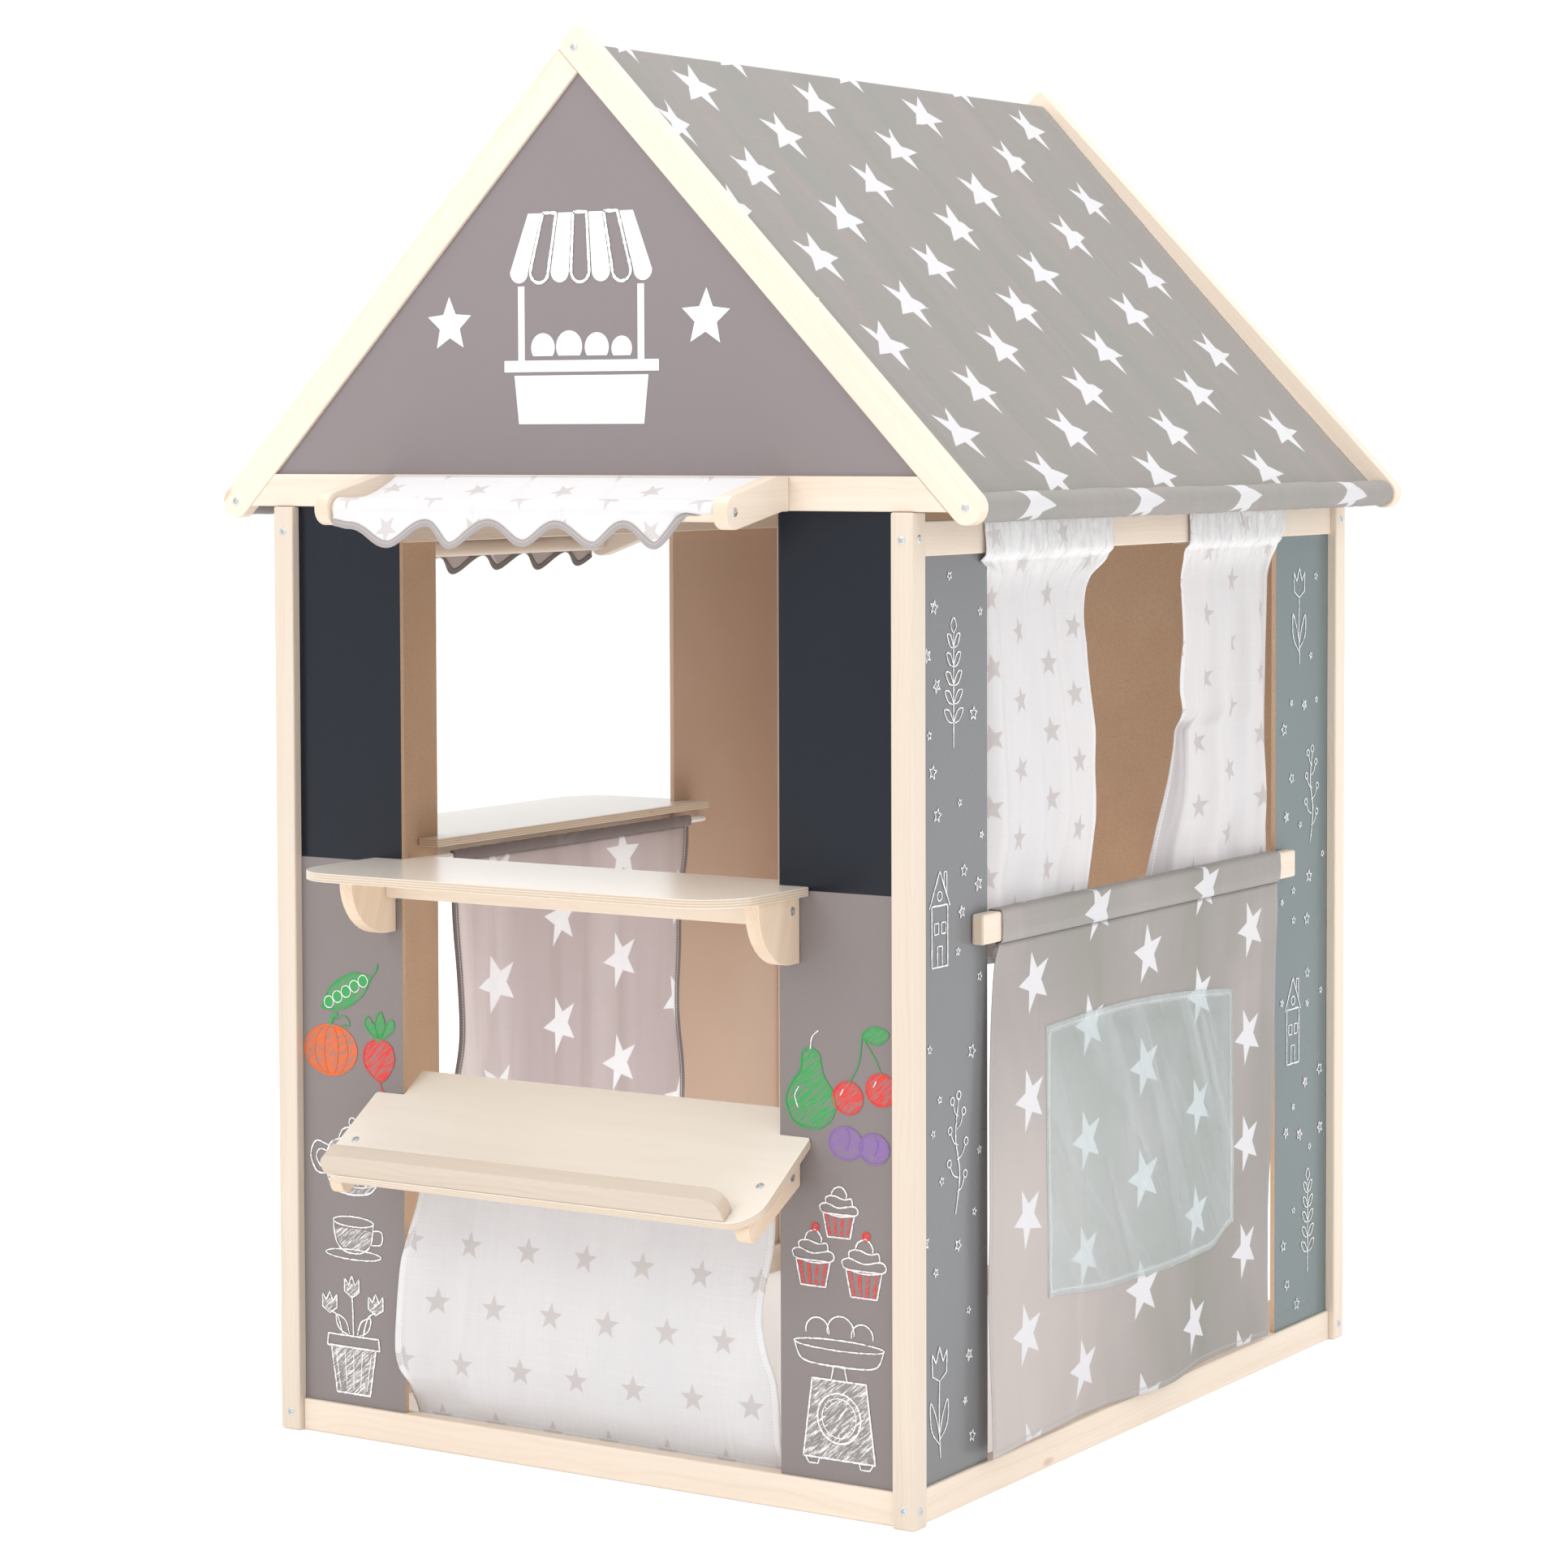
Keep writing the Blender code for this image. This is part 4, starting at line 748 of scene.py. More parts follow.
def awning_point(u, t):
    """t 0..0.42 wall to dowel, ..0.58 over the dowel, ..1 valance"""
    wall = (-0.5512, 1.1372)
    a_top = math.radians(70)
    top = (AY + RD * math.cos(a_top), AZ + RD * math.sin(a_top))
    zlow = hem_at(u)
    if t < 0.42:
        k = t / 0.42
        y = wall[0] + (top[0] - wall[0]) * k
        z = wall[1] + (top[1] - wall[1]) * k
        sag = 0.0125 * math.sin(math.pi * k) ** 0.9 * (0.55 + 0.45 * math.cos(u / 0.26 * 1.3))
        z -= sag
        z += 0.0016 * field(u * 16, k * 2.0, 1.0) * math.sin(math.pi * k)
        z += 0.0011 * field(u * 48, k * 3.0, 7.0) * k
        y += 0.0
        return u, y, z
    if t < 0.58:
        k = (t - 0.42) / 0.16
        a = a_top + (math.radians(188) - a_top) * k
        r = RD + 0.0006 + 0.0008 * field(u * 42, k * 1.5, 2.0) + 0.0006 * field(u * 15, k, 9.0)
        return u, AY + r * math.cos(a), AZ + r * math.sin(a)
    k = (t - 0.58) / 0.42
    z0 = AZ + RD * math.sin(math.radians(188))
    y0 = AY - RD
    z = z0 + (zlow - z0) * k
    depth = max(-1.0, (1.0715 - zlow) / 0.012)                    # lows swing forward, peaks back
    y = y0 - (0.0045 * depth + 0.0030) * k ** 1.3 - 0.0018 * field(u * 20, k * 1.2, 3.0) * k
    x = u
    if u > 0.205:                                       # the free corner curls back and up
        c = (u - 0.205) / 0.053
        y += 0.010 * c * k
        x -= 0.006 * c * k * k
    return x, y, z


P, fl, hm = grid(NU, NT), grid(NU, NT), grid(NU, NT)
us = np.linspace(-0.2575, 0.2575, NU)
for i, u in enumerate(us):
    run = 0.0
    prev = None
    for j in range(NT):
        t = j / (NT - 1)
        q = awning_point(u, t)
        if prev is not None:
            run += math.dist(q, prev)
        prev = q
        P[i, j] = q
        fl[i, j] = (u * 1.04, run, 0)
        hm[i, j] = (0.2575 - abs(u) + 0.003, run, 0.0)
aw = make_sheet("awning_sheet", P, fl, hm, 0.0008, M_AWN, "stall")
edge_pts, inw, outn = [], [], []
for i in range(NU):
    e, f = Vector(P[i, -1]), Vector(P[i, -6])
    a = Vector(P[min(i + 1, NU - 1), -1]) - Vector(P[max(i - 1, 0), -1])
    d = (f - e).normalized()
    nn = a.cross(d).normalized()
    d = nn.cross(a).normalized()
    edge_pts.append(e)
    inw.append(d)
    outn.append(nn)
bd = binding("awning_binding", edge_pts, inw, outn, M_BIND, "stall")
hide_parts("awning_cloth")

# ------------------------------------------------------------------ side awning
BX, BZ = -0.537, 1.037
P, fl, hm = grid(NU, NT), grid(NU, NT), grid(NU, NT)


def side_hem(u):
    w = math.sin((u + 0.2575) / 0.515 * math.pi * 11.0)
    return 1.0150 - 0.0110 * w + 0.0015 * math.sin(u * 31)


def side_point(u, t):
    wall = (-0.4312, 1.0872)
    a_top = math.radians(68)
    top = (BX + RD * math.cos(a_top), BZ + RD * math.sin(a_top))
    zlow = side_hem(u)
    if t < 0.42:
        k = t / 0.42
        x = wall[0] + (top[0] - wall[0]) * k
        z = wall[1] + (top[1] - wall[1]) * k - 0.009 * math.sin(math.pi * k) * (0.6 + 0.4 * math.cos(u / 0.26 * 1.4))
        z += 0.0014 * field(u * 17, k * 2.0, 11.0) * math.sin(math.pi * k) + 0.0008 * field(u * 44, k * 2, 12.0) * k
        return x, u, z
    if t < 0.58:
        k = (t - 0.42) / 0.16
        a = a_top + (math.radians(188) - a_top) * k
        r = RD + 0.0006 + 0.0008 * field(u * 40, k * 1.5, 14.0)
        return BX + r * math.cos(a), u, BZ + r * math.sin(a)
    k = (t - 0.58) / 0.42
    z0 = BZ + RD * math.sin(math.radians(188))
    z = z0 + (zlow - z0) * k
    depth = (1.0125 - zlow) / 0.0105
    x = BX - RD - (0.0060 * depth + 0.0015) * k ** 1.3 - 0.0015 * field(u * 20, k * 1.2, 15.0) * k
    return x, u, z


for i, u in enumerate(us):
    run = 0.0
    prev = None
    for j in range(NT):
        q = side_point(u, j / (NT - 1))
        if prev is not None:
            run += math.dist(q, prev)
        prev = q
        P[i, j] = q
        fl[i, j] = (u * 1.04, run, 0)
        hm[i, j] = (0.2575 - abs(u) + 0.003, run, 0.0)
sa = make_sheet("side_awning_sheet", P, fl, hm, 0.0008, M_SAWN, "stall")
edge_pts, inw, outn = [], [], []
for i in range(NU):
    e, f = Vector(P[i, -1]), Vector(P[i, -6])
    a = Vector(P[min(i + 1, NU - 1), -1]) - Vector(P[max(i - 1, 0), -1])
    d = (f - e).normalized()
    nn = a.cross(d).normalized()
    d = nn.cross(a).normalized()
    edge_pts.append(e)
    inw.append(d)
    outn.append(nn)
sb = binding("side_awning_binding", edge_pts, inw, outn, M_BIND_D, "stall")
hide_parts("side_awning_cloth")


# ------------------------------------------------------------------ curtains on wire rods
def rod_curtain(name, half_pos, body, mat, z_rod, z_low, lo, hi, place, edge_lo, edge_hi, depth, head, flat_scale, seed_z, hemw,
                thick=0.0007, nu=150, nv=120, lean=0.0, nudge=0.0, shade=None):
    """a gathered curtain: a header ruffle and a sleeve round the rod, then the hanging cloth.
    place(a, off, z) gives a point: a along the rod, off outward from the rod's line."""
    sleeve_r = 0.0062
    P, fl, hm = grid(nu, nv), grid(nu, nv), grid(nu, nv)
    loop = 26
    for i in range(nu):
        k = i / (nu - 1)
        for j in range(nv):
            if j < loop:                                # back layer end, round the rod, to the front stitch
                a = math.radians(-75) + math.radians(330) * j / (loop - 1)
                # from the lower back, up over the top, down the front
                ang = math.radians(-62) + math.radians(304) * j / (loop - 1)
                r = sleeve_r + 0.0009 * field(k * 38, j * 0.12, seed_z)
                flatten = 1.0
                off = -r * math.cos(ang) * flatten
                z = z_rod + r * math.sin(ang) * (1.0 + head * 0.15)
                aa = lo + (hi - lo) * k
                vv = (loop - 1 - j) / (loop - 1) * 2 * math.pi * sleeve_r
                P[i, j] = place(aa, off, z)
                # painted shade on the sleeve round the rod when a shade function is given
                fl[i, j] = (aa * flat_scale, z_rod + vv - 0.01, 0.9 if shade else 0)
                hm[i, j] = (0.05, aa, 1.0)
                if j > loop - 4:
                    hm[i, j] = (hemw + 0.0005, aa, 1.0)
            else:
                t = (j - loop + 1) / (nv - loop)
                z1 = z_rod - sleeve_r * 0.9
                z = z1 + (z_low - z1) * t
                l, h = edge_lo(z), edge_hi(z)
                aa = l + (h - l) * k
                off = depth(k, z, t)
                start = -sleeve_r * math.cos(math.radians(242))
                bl = smooth(min(1.0, t / 0.08))
                P[i, j] = place(lo + (hi - lo) * k + (aa - (lo + (hi - lo) * k)) * smooth(min(1, t / 0.2)),
                                start * (1 - bl) + off * bl, z)
                # painted shade from the shade function goes into flat.z
                fl[i, j] = (aa - lean * (z - 0.103) - nudge, z, shade(aa, z) if shade else 0)
                dedge = min(k, 1 - k) * (hi - lo)
                dbot = (1 - t) * (z1 - z_low)
                dtop = t * (z1 - z_low)
                dd = min(dedge, dbot)
                dbl = 1.0 if dd < hemw + (0.0045 if shade else 0.0015) else 0.0
                if t < 0.004:
                    hm[i, j] = (hemw, aa, 1.0)
                else:
                    hm[i, j] = (dd, z if dedge < dbot else aa, dbl)
    return make_sheet(name, P, fl, hm, thick, mat, body)


# front curtain: rod at y -0.519, z 0.392
F_L = [(0.028, -0.2590), (0.0535, -0.2625), (0.070, -0.2600), (0.080, -0.2600), (0.092, -0.2660), (0.114, -0.2705), (0.160, -0.2680), (0.2176, -0.2625),
       (0.235, -0.2585), (0.2938, -0.2469), (0.340, -0.2500), (0.392, -0.2660)]
F_R = [(0.028, 0.2540), (0.0557, 0.2519), (0.1299, 0.2501), (0.1658, 0.2396), (0.2022, 0.2333), (0.2397, 0.2356), (0.2968, 0.2443), (0.392, 0.2400)]


def front_depth(k, z, t):
    x = -0.27 + 0.52 * k
    bulge = curve_at([(0.028, -0.0020), (0.045, 0.0005), (0.070, 0.0090), (0.120, 0.0175), (0.200, 0.0165), (0.300, 0.0080), (0.392, 0.0)], z)
    out_l = curve_at([(0.028, -0.0020), (0.048, 0.0020), (0.072, 0.0180), (0.086, 0.0275), (0.120, 0.0300), (0.200, 0.0295), (0.228, 0.0275),
                      (0.255, 0.0230), (0.310, 0.0110), (0.392, 0.0)], z)
    wl = 1 - smooth((x + 0.262) / 0.11)
    bulge = bulge * (1 - wl) + out_l * wl
    fold = 0.0050 * math.exp(-((x + 0.175) / 0.022) ** 2) - 0.0045 * math.exp(-((x + 0.205) / 0.020) ** 2)
    fold += 0.0028 * math.sin(x * 36 + 0.6 * math.sin(z * 11)) * (0.4 + 0.6 * t)
    fold += 0.0020 * field(x * 9, z * 5, 21.0) + 0.0008 * field(x * 30, z * 22, 22.0)
    edge = 0.004 * smooth((x - 0.19) / 0.06) * math.sin(z * 38) * t
    low = smooth((z - 0.036) / 0.03)
    still = 1 - 0.93 * (1 - smooth((x + 0.262) / 0.030))
    return bulge + fold * (0.25 + 0.75 * low) * still + edge * low


def front_place(a, off, z):
    return (a, -0.519 - off, z)


fc = rod_curtain("front_curtain_sheet", 0, "front_curtain_hanging", M_FCUR, 0.392, 0.030, -0.2740, 0.2400, front_place,
                 lambda z: curve_at(F_L, z), lambda z: curve_at(F_R, z), front_depth, 1.0, 1.0, 31.0, 0.0080, lean=0.08, nudge=0.004)
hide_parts("front_curtain")

# side curtain: rod at x -0.4045, z 0.660
S_L = [(0.030, -0.2430), (0.150, -0.2480), (0.300, -0.2540), (0.359, -0.2527), (0.4286, -0.2385), (0.500, -0.2430), (0.5625, -0.2504), (0.660, -0.2560)]
S_R = [(0.030, 0.2600), (0.200, 0.2630), (0.3414, 0.2627), (0.453, 0.2556), (0.5629, 0.2604), (0.6448, 0.2709), (0.660, 0.2740)]


def side_depth(k, z, t):
    y = -0.243 + 0.525 * k
    d = 0.0045 * t + 0.0035 * math.sin(t * 2.6)
    d += 0.0060 * math.exp(-((y + 0.170 + 0.02 * t) / 0.013) ** 2) * min(1, 3 * t)
    d -= 0.0040 * math.exp(-((y + 0.135) / 0.030) ** 2) * min(1, 3 * t)
    d += 0.0070 * math.sin((y - 0.10 * (0.66 - z)) * 21 + 0.5) * min(1.0, 0.25 + t) * 0.55
    d += 0.0022 * field(y * 10, z * 4, 41.0) + 0.0008 * field(y * 34, z * 16, 42.0)
    d += 0.0050 * smooth((y - 0.225) / 0.04) * math.sin(z * 33 + 0.8) * min(1, 2 * t)
    return max(-0.0055, d)


def side_place(a, off, z):
    return (-0.4045 - off * 0.55 + 0.001, a, z)


# painted shade: the side curtain is lightly shaded at its left part, more from the middle-left rightwards, a little
# less near a = 0.09, and on its sleeve
sc_ = rod_curtain("side_curtain_sheet", 0, "side_curtain_hanging", M_SIDE, 0.660, 0.034, -0.2560, 0.2780, side_place,
                  lambda z: curve_at(S_L, z), lambda z: curve_at(S_R, z), side_depth, 1.0, 1.0, 51.0, 0.0085, nv=150,
                  shade=lambda a, z: 0.15 + 0.75 * smooth((a + 0.175 + 0.05 * z) / 0.10) - 0.25 * math.exp(-((a - 0.09) / 0.05) ** 2))
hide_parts("side_curtain")

# ------------------------------------------------------------------ door curtains
RAIL_X0, RAIL_X1, RAIL_Z0, RAIL_Z1 = 0.4103, 0.4303, 1.052, 1.090


def door_curtain(name, node, body, top_lo, top_hi, lo_edge, hi_edge, folds, seed_z, u_of, zbot, extra=None, nu=130, flare=0.0):
    o = 0.0016
    x0, x1, z0, z1 = RAIL_X0 - o, RAIL_X1 + o, RAIL_Z0 - o, RAIL_Z1 + o
    # inside face up, over, down the outside, tucked under, then hanging
    pts = [(x0 + 0.004, z0 - 0.0004), (x0, z0 + 0.003), (x0, z0 + 0.02), (x0, z1 - 0.003), (x0 + 0.003, z1), (x1 - 0.003, z1),
           (x1, z1 - 0.003), (x1, z1 - 0.012), (x1 + 0.0004, z1 - 0.024), (x1 + 0.0002, z0 + 0.006), (x1 - 0.001, z0 - 0.001), (x1 - 0.0055, z0 - 0.0065)]
    dense = []
    for a, b in zip(pts, pts[1:]):
        L = math.dist(a, b)
        m = max(1, int(L / 0.0035))
        dense += [(a[0] + (b[0] - a[0]) * q / m, a[1] + (b[1] - a[1]) * q / m) for q in range(m)]
    dense.append(pts[-1])
    nl = len(dense)
    nv = nl + 110
    P, fl, hm = grid(nu, nv), grid(nu, nv), grid(nu, nv)
    arcs = [0.0]
    for a, b in zip(dense[::-1], dense[::-1][1:]):
        arcs.append(arcs[-1] + math.dist(a, b))
    arcs = arcs[::-1]
    cx, cz = (x0 + x1) / 2, (z0 + z1) / 2
    for i in range(nu):
        k = i / (nu - 1)
        yt = top_lo + (top_hi - top_lo) * k
        for j in range(nv):
            if j < nl:
                x, z = dense[j]
                w = smooth((arcs[j] < 0.055) * (1 - arcs[j] / 0.055)) if arcs[j] < 0.055 else 0.0
                puck = field(k * 30, arcs[j] * 30, seed_z) * 0.0007
                puck2 = 0.0030 * (0.5 + 0.5 * math.sin(k * 118 + 1.7 * math.sin(k * 31))) * math.exp(-((arcs[j] - 0.006) / 0.009) ** 2)
                out = 1 if x > cx else -1
                dx = out * (abs(puck) + puck2 * (out > 0) + 0.0003)
                ripple = 0.0
                if x > cx + 0.005:
                    gather = max(0.0, field(k * 17 + 14 * arcs[j], arcs[j] * 16, seed_z + 3)) * 0.0052
                    gather += abs(field(k * 42 - 30 * arcs[j], arcs[j] * 20, seed_z + 4)) * 0.0026
                    ripple = gather * (0.35 + 0.65 * math.exp(-((arcs[j] - 0.012) / 0.022) ** 2) + 0.3 * (arcs[j] > 0.034))
                fl_ = flare * smooth((arcs[j] - 0.006) / 0.02) * smooth((k - 0.75) / 0.25) * (x > cx - 0.004)
                P[i, j] = (x + dx + ripple, yt + fl_ + 0.0008 * field(k * 9, arcs[j] * 50, seed_z + 5), z + (0.0005 * out if j in (4, 5, 6) else 0))
                dedge = min(k, 1 - k) * (top_hi - top_lo)
                hm[i, j] = (min(dedge, abs(arcs[j] - 0.0065) + 0.006), z if dedge < 0.008 else yt, 1.0)
                fl[i, j] = (u_of(yt, 1.06) + 0.006 * field(k * 9, arcs[j] * 30, seed_z + 9), 1.052 + arcs[j] * 0.95, 0)
            else:
                t = (j - nl + 1) / (nv - nl)
                zs = dense[-1][1]
                z = zs + (zbot - zs) * t
                l, h = lo_edge(z), hi_edge(z)
                y = l + (h - l) * k
                y = yt + (y - yt) * smooth(min(1.0, t / (0.018 + 0.042 * smooth(k / 0.2))))
                base_x = dense[-1][0] + (0.4180 - dense[-1][0]) * smooth(min(1, t / 0.10))
                d = folds(k, z, t) * smooth(min(1, t / 0.05))
                rim = smooth((min(k, 1 - k) - 0.03) / 0.10)
                d = min(d, 0.0005 + 0.0060 * rim)
                d += 0.0026 * math.sin(k * 118 + 1.7 * math.sin(k * 31)) * math.exp(-t / 0.045)
                deep = smooth((z - 0.675) / 0.06)
                d += deep * 0.0085 * (0.5 + 0.5 * math.sin(k * 21 + 2.0 * math.sin(z * 5 + seed_z))) * smooth(min(k, 1 - k) / 0.12) * smooth((1.035 - z) / 0.10)
                P[i, j] = (base_x + d, y, z)
                # painted shade: where the turned-back layer lies behind the front layer it is darkened through flat.z
                dark = 0.0
                if extra:
                    was = P[i, j].copy()
                    P[i, j] = extra(k, z, t, P[i, j])
                    dark = smooth((was[0] - P[i, j][0] - 0.003) / 0.004)
                dedge = min(k, 1 - k) * (top_hi - top_lo)
                fl[i, j] = (u_of(yt, z), z, dark)
                hm[i, j] = (min(dedge, (1 - t) * 0.4), z if dedge < (1 - t) * 0.4 else y, 1.0 if min(dedge, (1 - t) * 0.4) < 0.0075 else 0.0)
    return make_sheet(name, P, fl, hm, 0.0006, M_DCUR, body)


A_L = [(0.592, -0.3690), (0.80, -0.3695), (0.95, -0.3695), (1.045, -0.3695)]
A_R = [(0.592, -0.1400), (0.632, -0.1290), (0.6557, -0.1219), (0.7141, -0.1058), (0.7589, -0.0957), (0.7894, -0.0958), (0.8315, -0.0999),
       (0.895, -0.1161), (0.9426, -0.1241), (0.985, -0.1221), (1.0343, -0.1040), (1.045, -0.0900)]


def folds_a(k, z, t):
    f = 0.0038 * math.sin(k * 16.0 + 1.2 * math.sin(z * 6)) + 0.0022 * math.sin(k * 34 + z * 5)
    f += 0.0030 * field(k * 5, z * 4, 61.0) + 0.0008 * field(k * 16, z * 20, 62.0)
    f *= 0.55 + 0.45 * t
    f += 0.0035 * smooth((k - 0.9) / 0.1) * math.sin(z * 30)
    return max(-0.0090, min(0.0052, f - 0.0020))


SLEEVE_A = -0.3900
da = door_curtain("door_curtain_a_sheet", "door_curtain_front", "door_curtain_a", SLEEVE_A, -0.0845,
                  lambda z: curve_at(A_L, z), lambda z: curve_at(A_R, z), folds_a, 71.0,
                  lambda y, z: y * 1.0 + 0.0, 0.592)
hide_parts("door_curtain_front")

B_L = [(0.592, 0.1170), (0.6552, 0.1270), (0.7395, 0.1450), (0.7900, 0.1420), (0.854, 0.1300), (0.8732, 0.1245), (0.9336, 0.1261),
       (0.985, 0.1210), (1.0281, 0.1131), (1.045, 0.1120)]
B_R = [(0.592, 0.3670), (0.6727, 0.3695), (0.8073, 0.3680), (0.961, 0.3700), (1.045, 0.3740)]


def folds_b(k, z, t):
    f = 0.0042 * math.sin(k * 15.0 + 2.2 + 0.9 * math.sin(z * 7)) + 0.0024 * math.sin(k * 37 + z * 6 + 1)
    f += 0.0032 * field(k * 5, z * 4, 63.0) + 0.0008 * field(k * 16, z * 20, 64.0)
    f *= 0.55 + 0.45 * t
    f += 0.0035 * smooth((0.1 - k) / 0.1) * math.sin(z * 26 + 1)
    return max(-0.0090, min(0.0052, f - 0.0020))


def back_width(z):
    return max(0.0, curve_at([(0.592, 0.066), (0.655, 0.065), (0.708, 0.056), (0.765, 0.033), (0.815, 0.014), (0.855, 0.0), (1.1, 0.0)], z))


def back_fold(k, z, t, p):
    """the inner edge turns back under the curtain and trails to the left below"""
    kf = 0.16
    w = back_width(z)
    if k < kf and w > 0:
        q = 1 - k / kf
        fold_y = B_at(kf, z)
        y = fold_y * (1 - smooth(w / 0.02)) + 0.0
        mixw = smooth(w / 0.012)
        ny = p[1] * (1 - mixw) + (fold_y - w * q) * mixw
        nx = p[0] * (1 - mixw) + (p[0] - 0.0085 * min(1.0, q * 5) - 0.006 * q * min(1.0, w / 0.04)) * mixw
        return (nx, ny, z)
    return p


def b_lo(z):
    # with the edge turned back, the fold line takes the edge's place
    l, h = curve_at(B_L, z), curve_at(B_R, z)
    return l - (h - l) * 0.16 / 0.84 * smooth(back_width(z) / 0.012)


def B_at(k, z):
    l, h = b_lo(z), curve_at(B_R, z)
    return l + (h - l) * k


db = door_curtain("door_curtain_b_sheet", "door_curtain_rear", "door_curtain_b", 0.1130, 0.3720,
                  b_lo, lambda z: curve_at(B_R, z), folds_b, 75.0,
                  lambda y, z: y * 1.0 + 0.005, 0.592, extra=back_fold, flare=0.012)
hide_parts("door_curtain_rear")

# ------------------------------------------------------------------ door flap
BX0, BX1, BZ0, BZ1 = 0.4258, 0.4418, 0.620, 0.654
MID = 0.4338
o = 0.0013
pts = [(MID + 0.0030, 0.6140), (MID - 0.0020, BZ0 - o), (BX0 - o + 0.002, BZ0 - o), (BX0 - o, BZ0 + 0.002), (BX0 - o, BZ1 - 0.002),
       (BX0 - o + 0.002, BZ1 + o), (BX1 + o - 0.002, BZ1 + o), (BX1 + o, BZ1 - 0.002), (BX1 + o, BZ0 + 0.002), (BX1 + o - 0.002, BZ0 - o),
       (MID + 0.0045, BZ0 - o - 0.0008), (MID + 0.0030, 0.6160), (MID + 0.0026, 0.6140)]
dense = []
for a, b in zip(pts, pts[1:]):
    m = max(1, int(math.dist(a, b) / 0.0022))
    dense += [(a[0] + (b[0] - a[0]) * q / m, a[1] + (b[1] - a[1]) * q / m) for q in range(m)]
dense.append(pts[-1])
arcs = [0.0]
for a, b in zip(dense[::-1], dense[::-1][1:]):
    arcs.append(arcs[-1] + math.dist(a, b))
arcs = arcs[::-1]
NY = 200
P, fl, hm = grid(NY, len(dense)), grid(NY, len(dense)), grid(NY, len(dense))
for i in range(NY):
    k = i / (NY - 1)
    y = -0.3685 + 0.7170 * k
    for j, (x, z) in enumerate(dense):
        cx, cz = (BX0 + BX1) / 2, (BZ0 + BZ1) / 2
        r = Vector((x - cx, z - cz))
        n2 = r.normalized() if r.length else Vector((1, 0))
        d = 0.0
        if arcs[j] > 0.008:
            d = 0.0007 * abs(field(y * 24, arcs[j] * 26, 81.0)) + 0.0006 * abs(field(y * 70, arcs[j] * 12, 82.0))
            if x > cx and BZ0 < z < BZ1:
                d += 0.0013 * math.sin(math.pi * (z - BZ0) / (BZ1 - BZ0)) * (0.6 + 0.5 * field(y * 9, 0, 83.0))
        P[i, j] = (x + n2.x * d, y, z + n2.y * d)
        fl[i, j] = (y, 0.6115 + arcs[j], 0)
        dd = min(k, 1 - k) * 0.717
        hm[i, j] = (dd if arcs[j] > 0.012 else min(dd, 0.0055 + abs(arcs[j] - 0.0035)), arcs[j] if dd < 0.007 else y, 1.0 if arcs[j] < 0.02 else 0.35)
sl = make_sheet("door_sleeve_sheet", P, fl, hm, 0.0008, M_FLAP, "stall")
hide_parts("door_sleeve")

FL_L = [(0.041, -0.3925), (0.15, -0.3930), (0.30, -0.3920), (0.40, -0.3895), (0.50, -0.3835), (0.56, -0.3790), (0.595, -0.3760), (0.6055, -0.3735), (0.6168, -0.3690)]
FL_R = [(0.041, 0.3330), (0.10, 0.3360), (0.20, 0.3410), (0.35, 0.3480), (0.50, 0.3540), (0.58, 0.3560), (0.6168, 0.3480)]
NZ = 170


def flap_depth(y, z):
    t = max(0.0, (0.6105 - z) / 0.57)
    w = 0.0016 * t + 0.0052 * math.sin(y * 12.5 + 0.6) * t + 0.0030 * math.sin(y * 27 - 1.0 + 2 * t) * t
    w += 0.0020 * field(y * 6, z * 4, 91.0) * min(1, 4 * t) + 0.0009 * field(y * 22, z * 16, 92.0) * min(1, 4 * t)
    w += 0.0042 * smooth((t - 0.86) / 0.14) * math.sin(y * 19 + 1.1)
    w += 0.0040 * smooth((abs(y) - 0.29) / 0.07) * t * (0.5 + 0.5 * math.sin(z * 21))
    w = max(-0.0062, w)
    w += 0.0046 * math.exp(-max(0.0, 0.6115 - z) / 0.030)
    return w


def flap_at(y, z):
    return MID + 0.0005 + flap_depth(y, z)


P, fl, hm = grid(NY, NZ), grid(NY, NZ), grid(NY, NZ)
for i in range(NY):
    k = i / (NY - 1)
    for j in range(NZ):
        t = j / (NZ - 1)
        bot = 0.0415 + 0.0035 * math.sin(k * 9.0 + 0.5) * 0.5 + 0.0018
        z = 0.6168 + (bot - 0.6168) * t
        l, h = curve_at(FL_L, z), curve_at(FL_R, z)
        y = l + (h - l) * k
        P[i, j] = (flap_at(y, z), y, z)
        dedge = min(k, 1 - k) * 0.74
        dbot = (1 - t) * 0.57
        dd = min(dedge, dbot)
        fl[i, j] = (-0.378 + 0.736 * k, z, 0)
        dtop = 0.0035 + t * 0.57
        hm[i, j] = (min(dd, dtop + 0.001), z if dedge < dbot else y, 1.0 if dd < 0.0072 else 0.0)
ob = make_sheet("door_flap_sheet", P, fl, hm, 0.0008, M_FLAP, None)
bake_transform(ob)
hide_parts("door_flap")


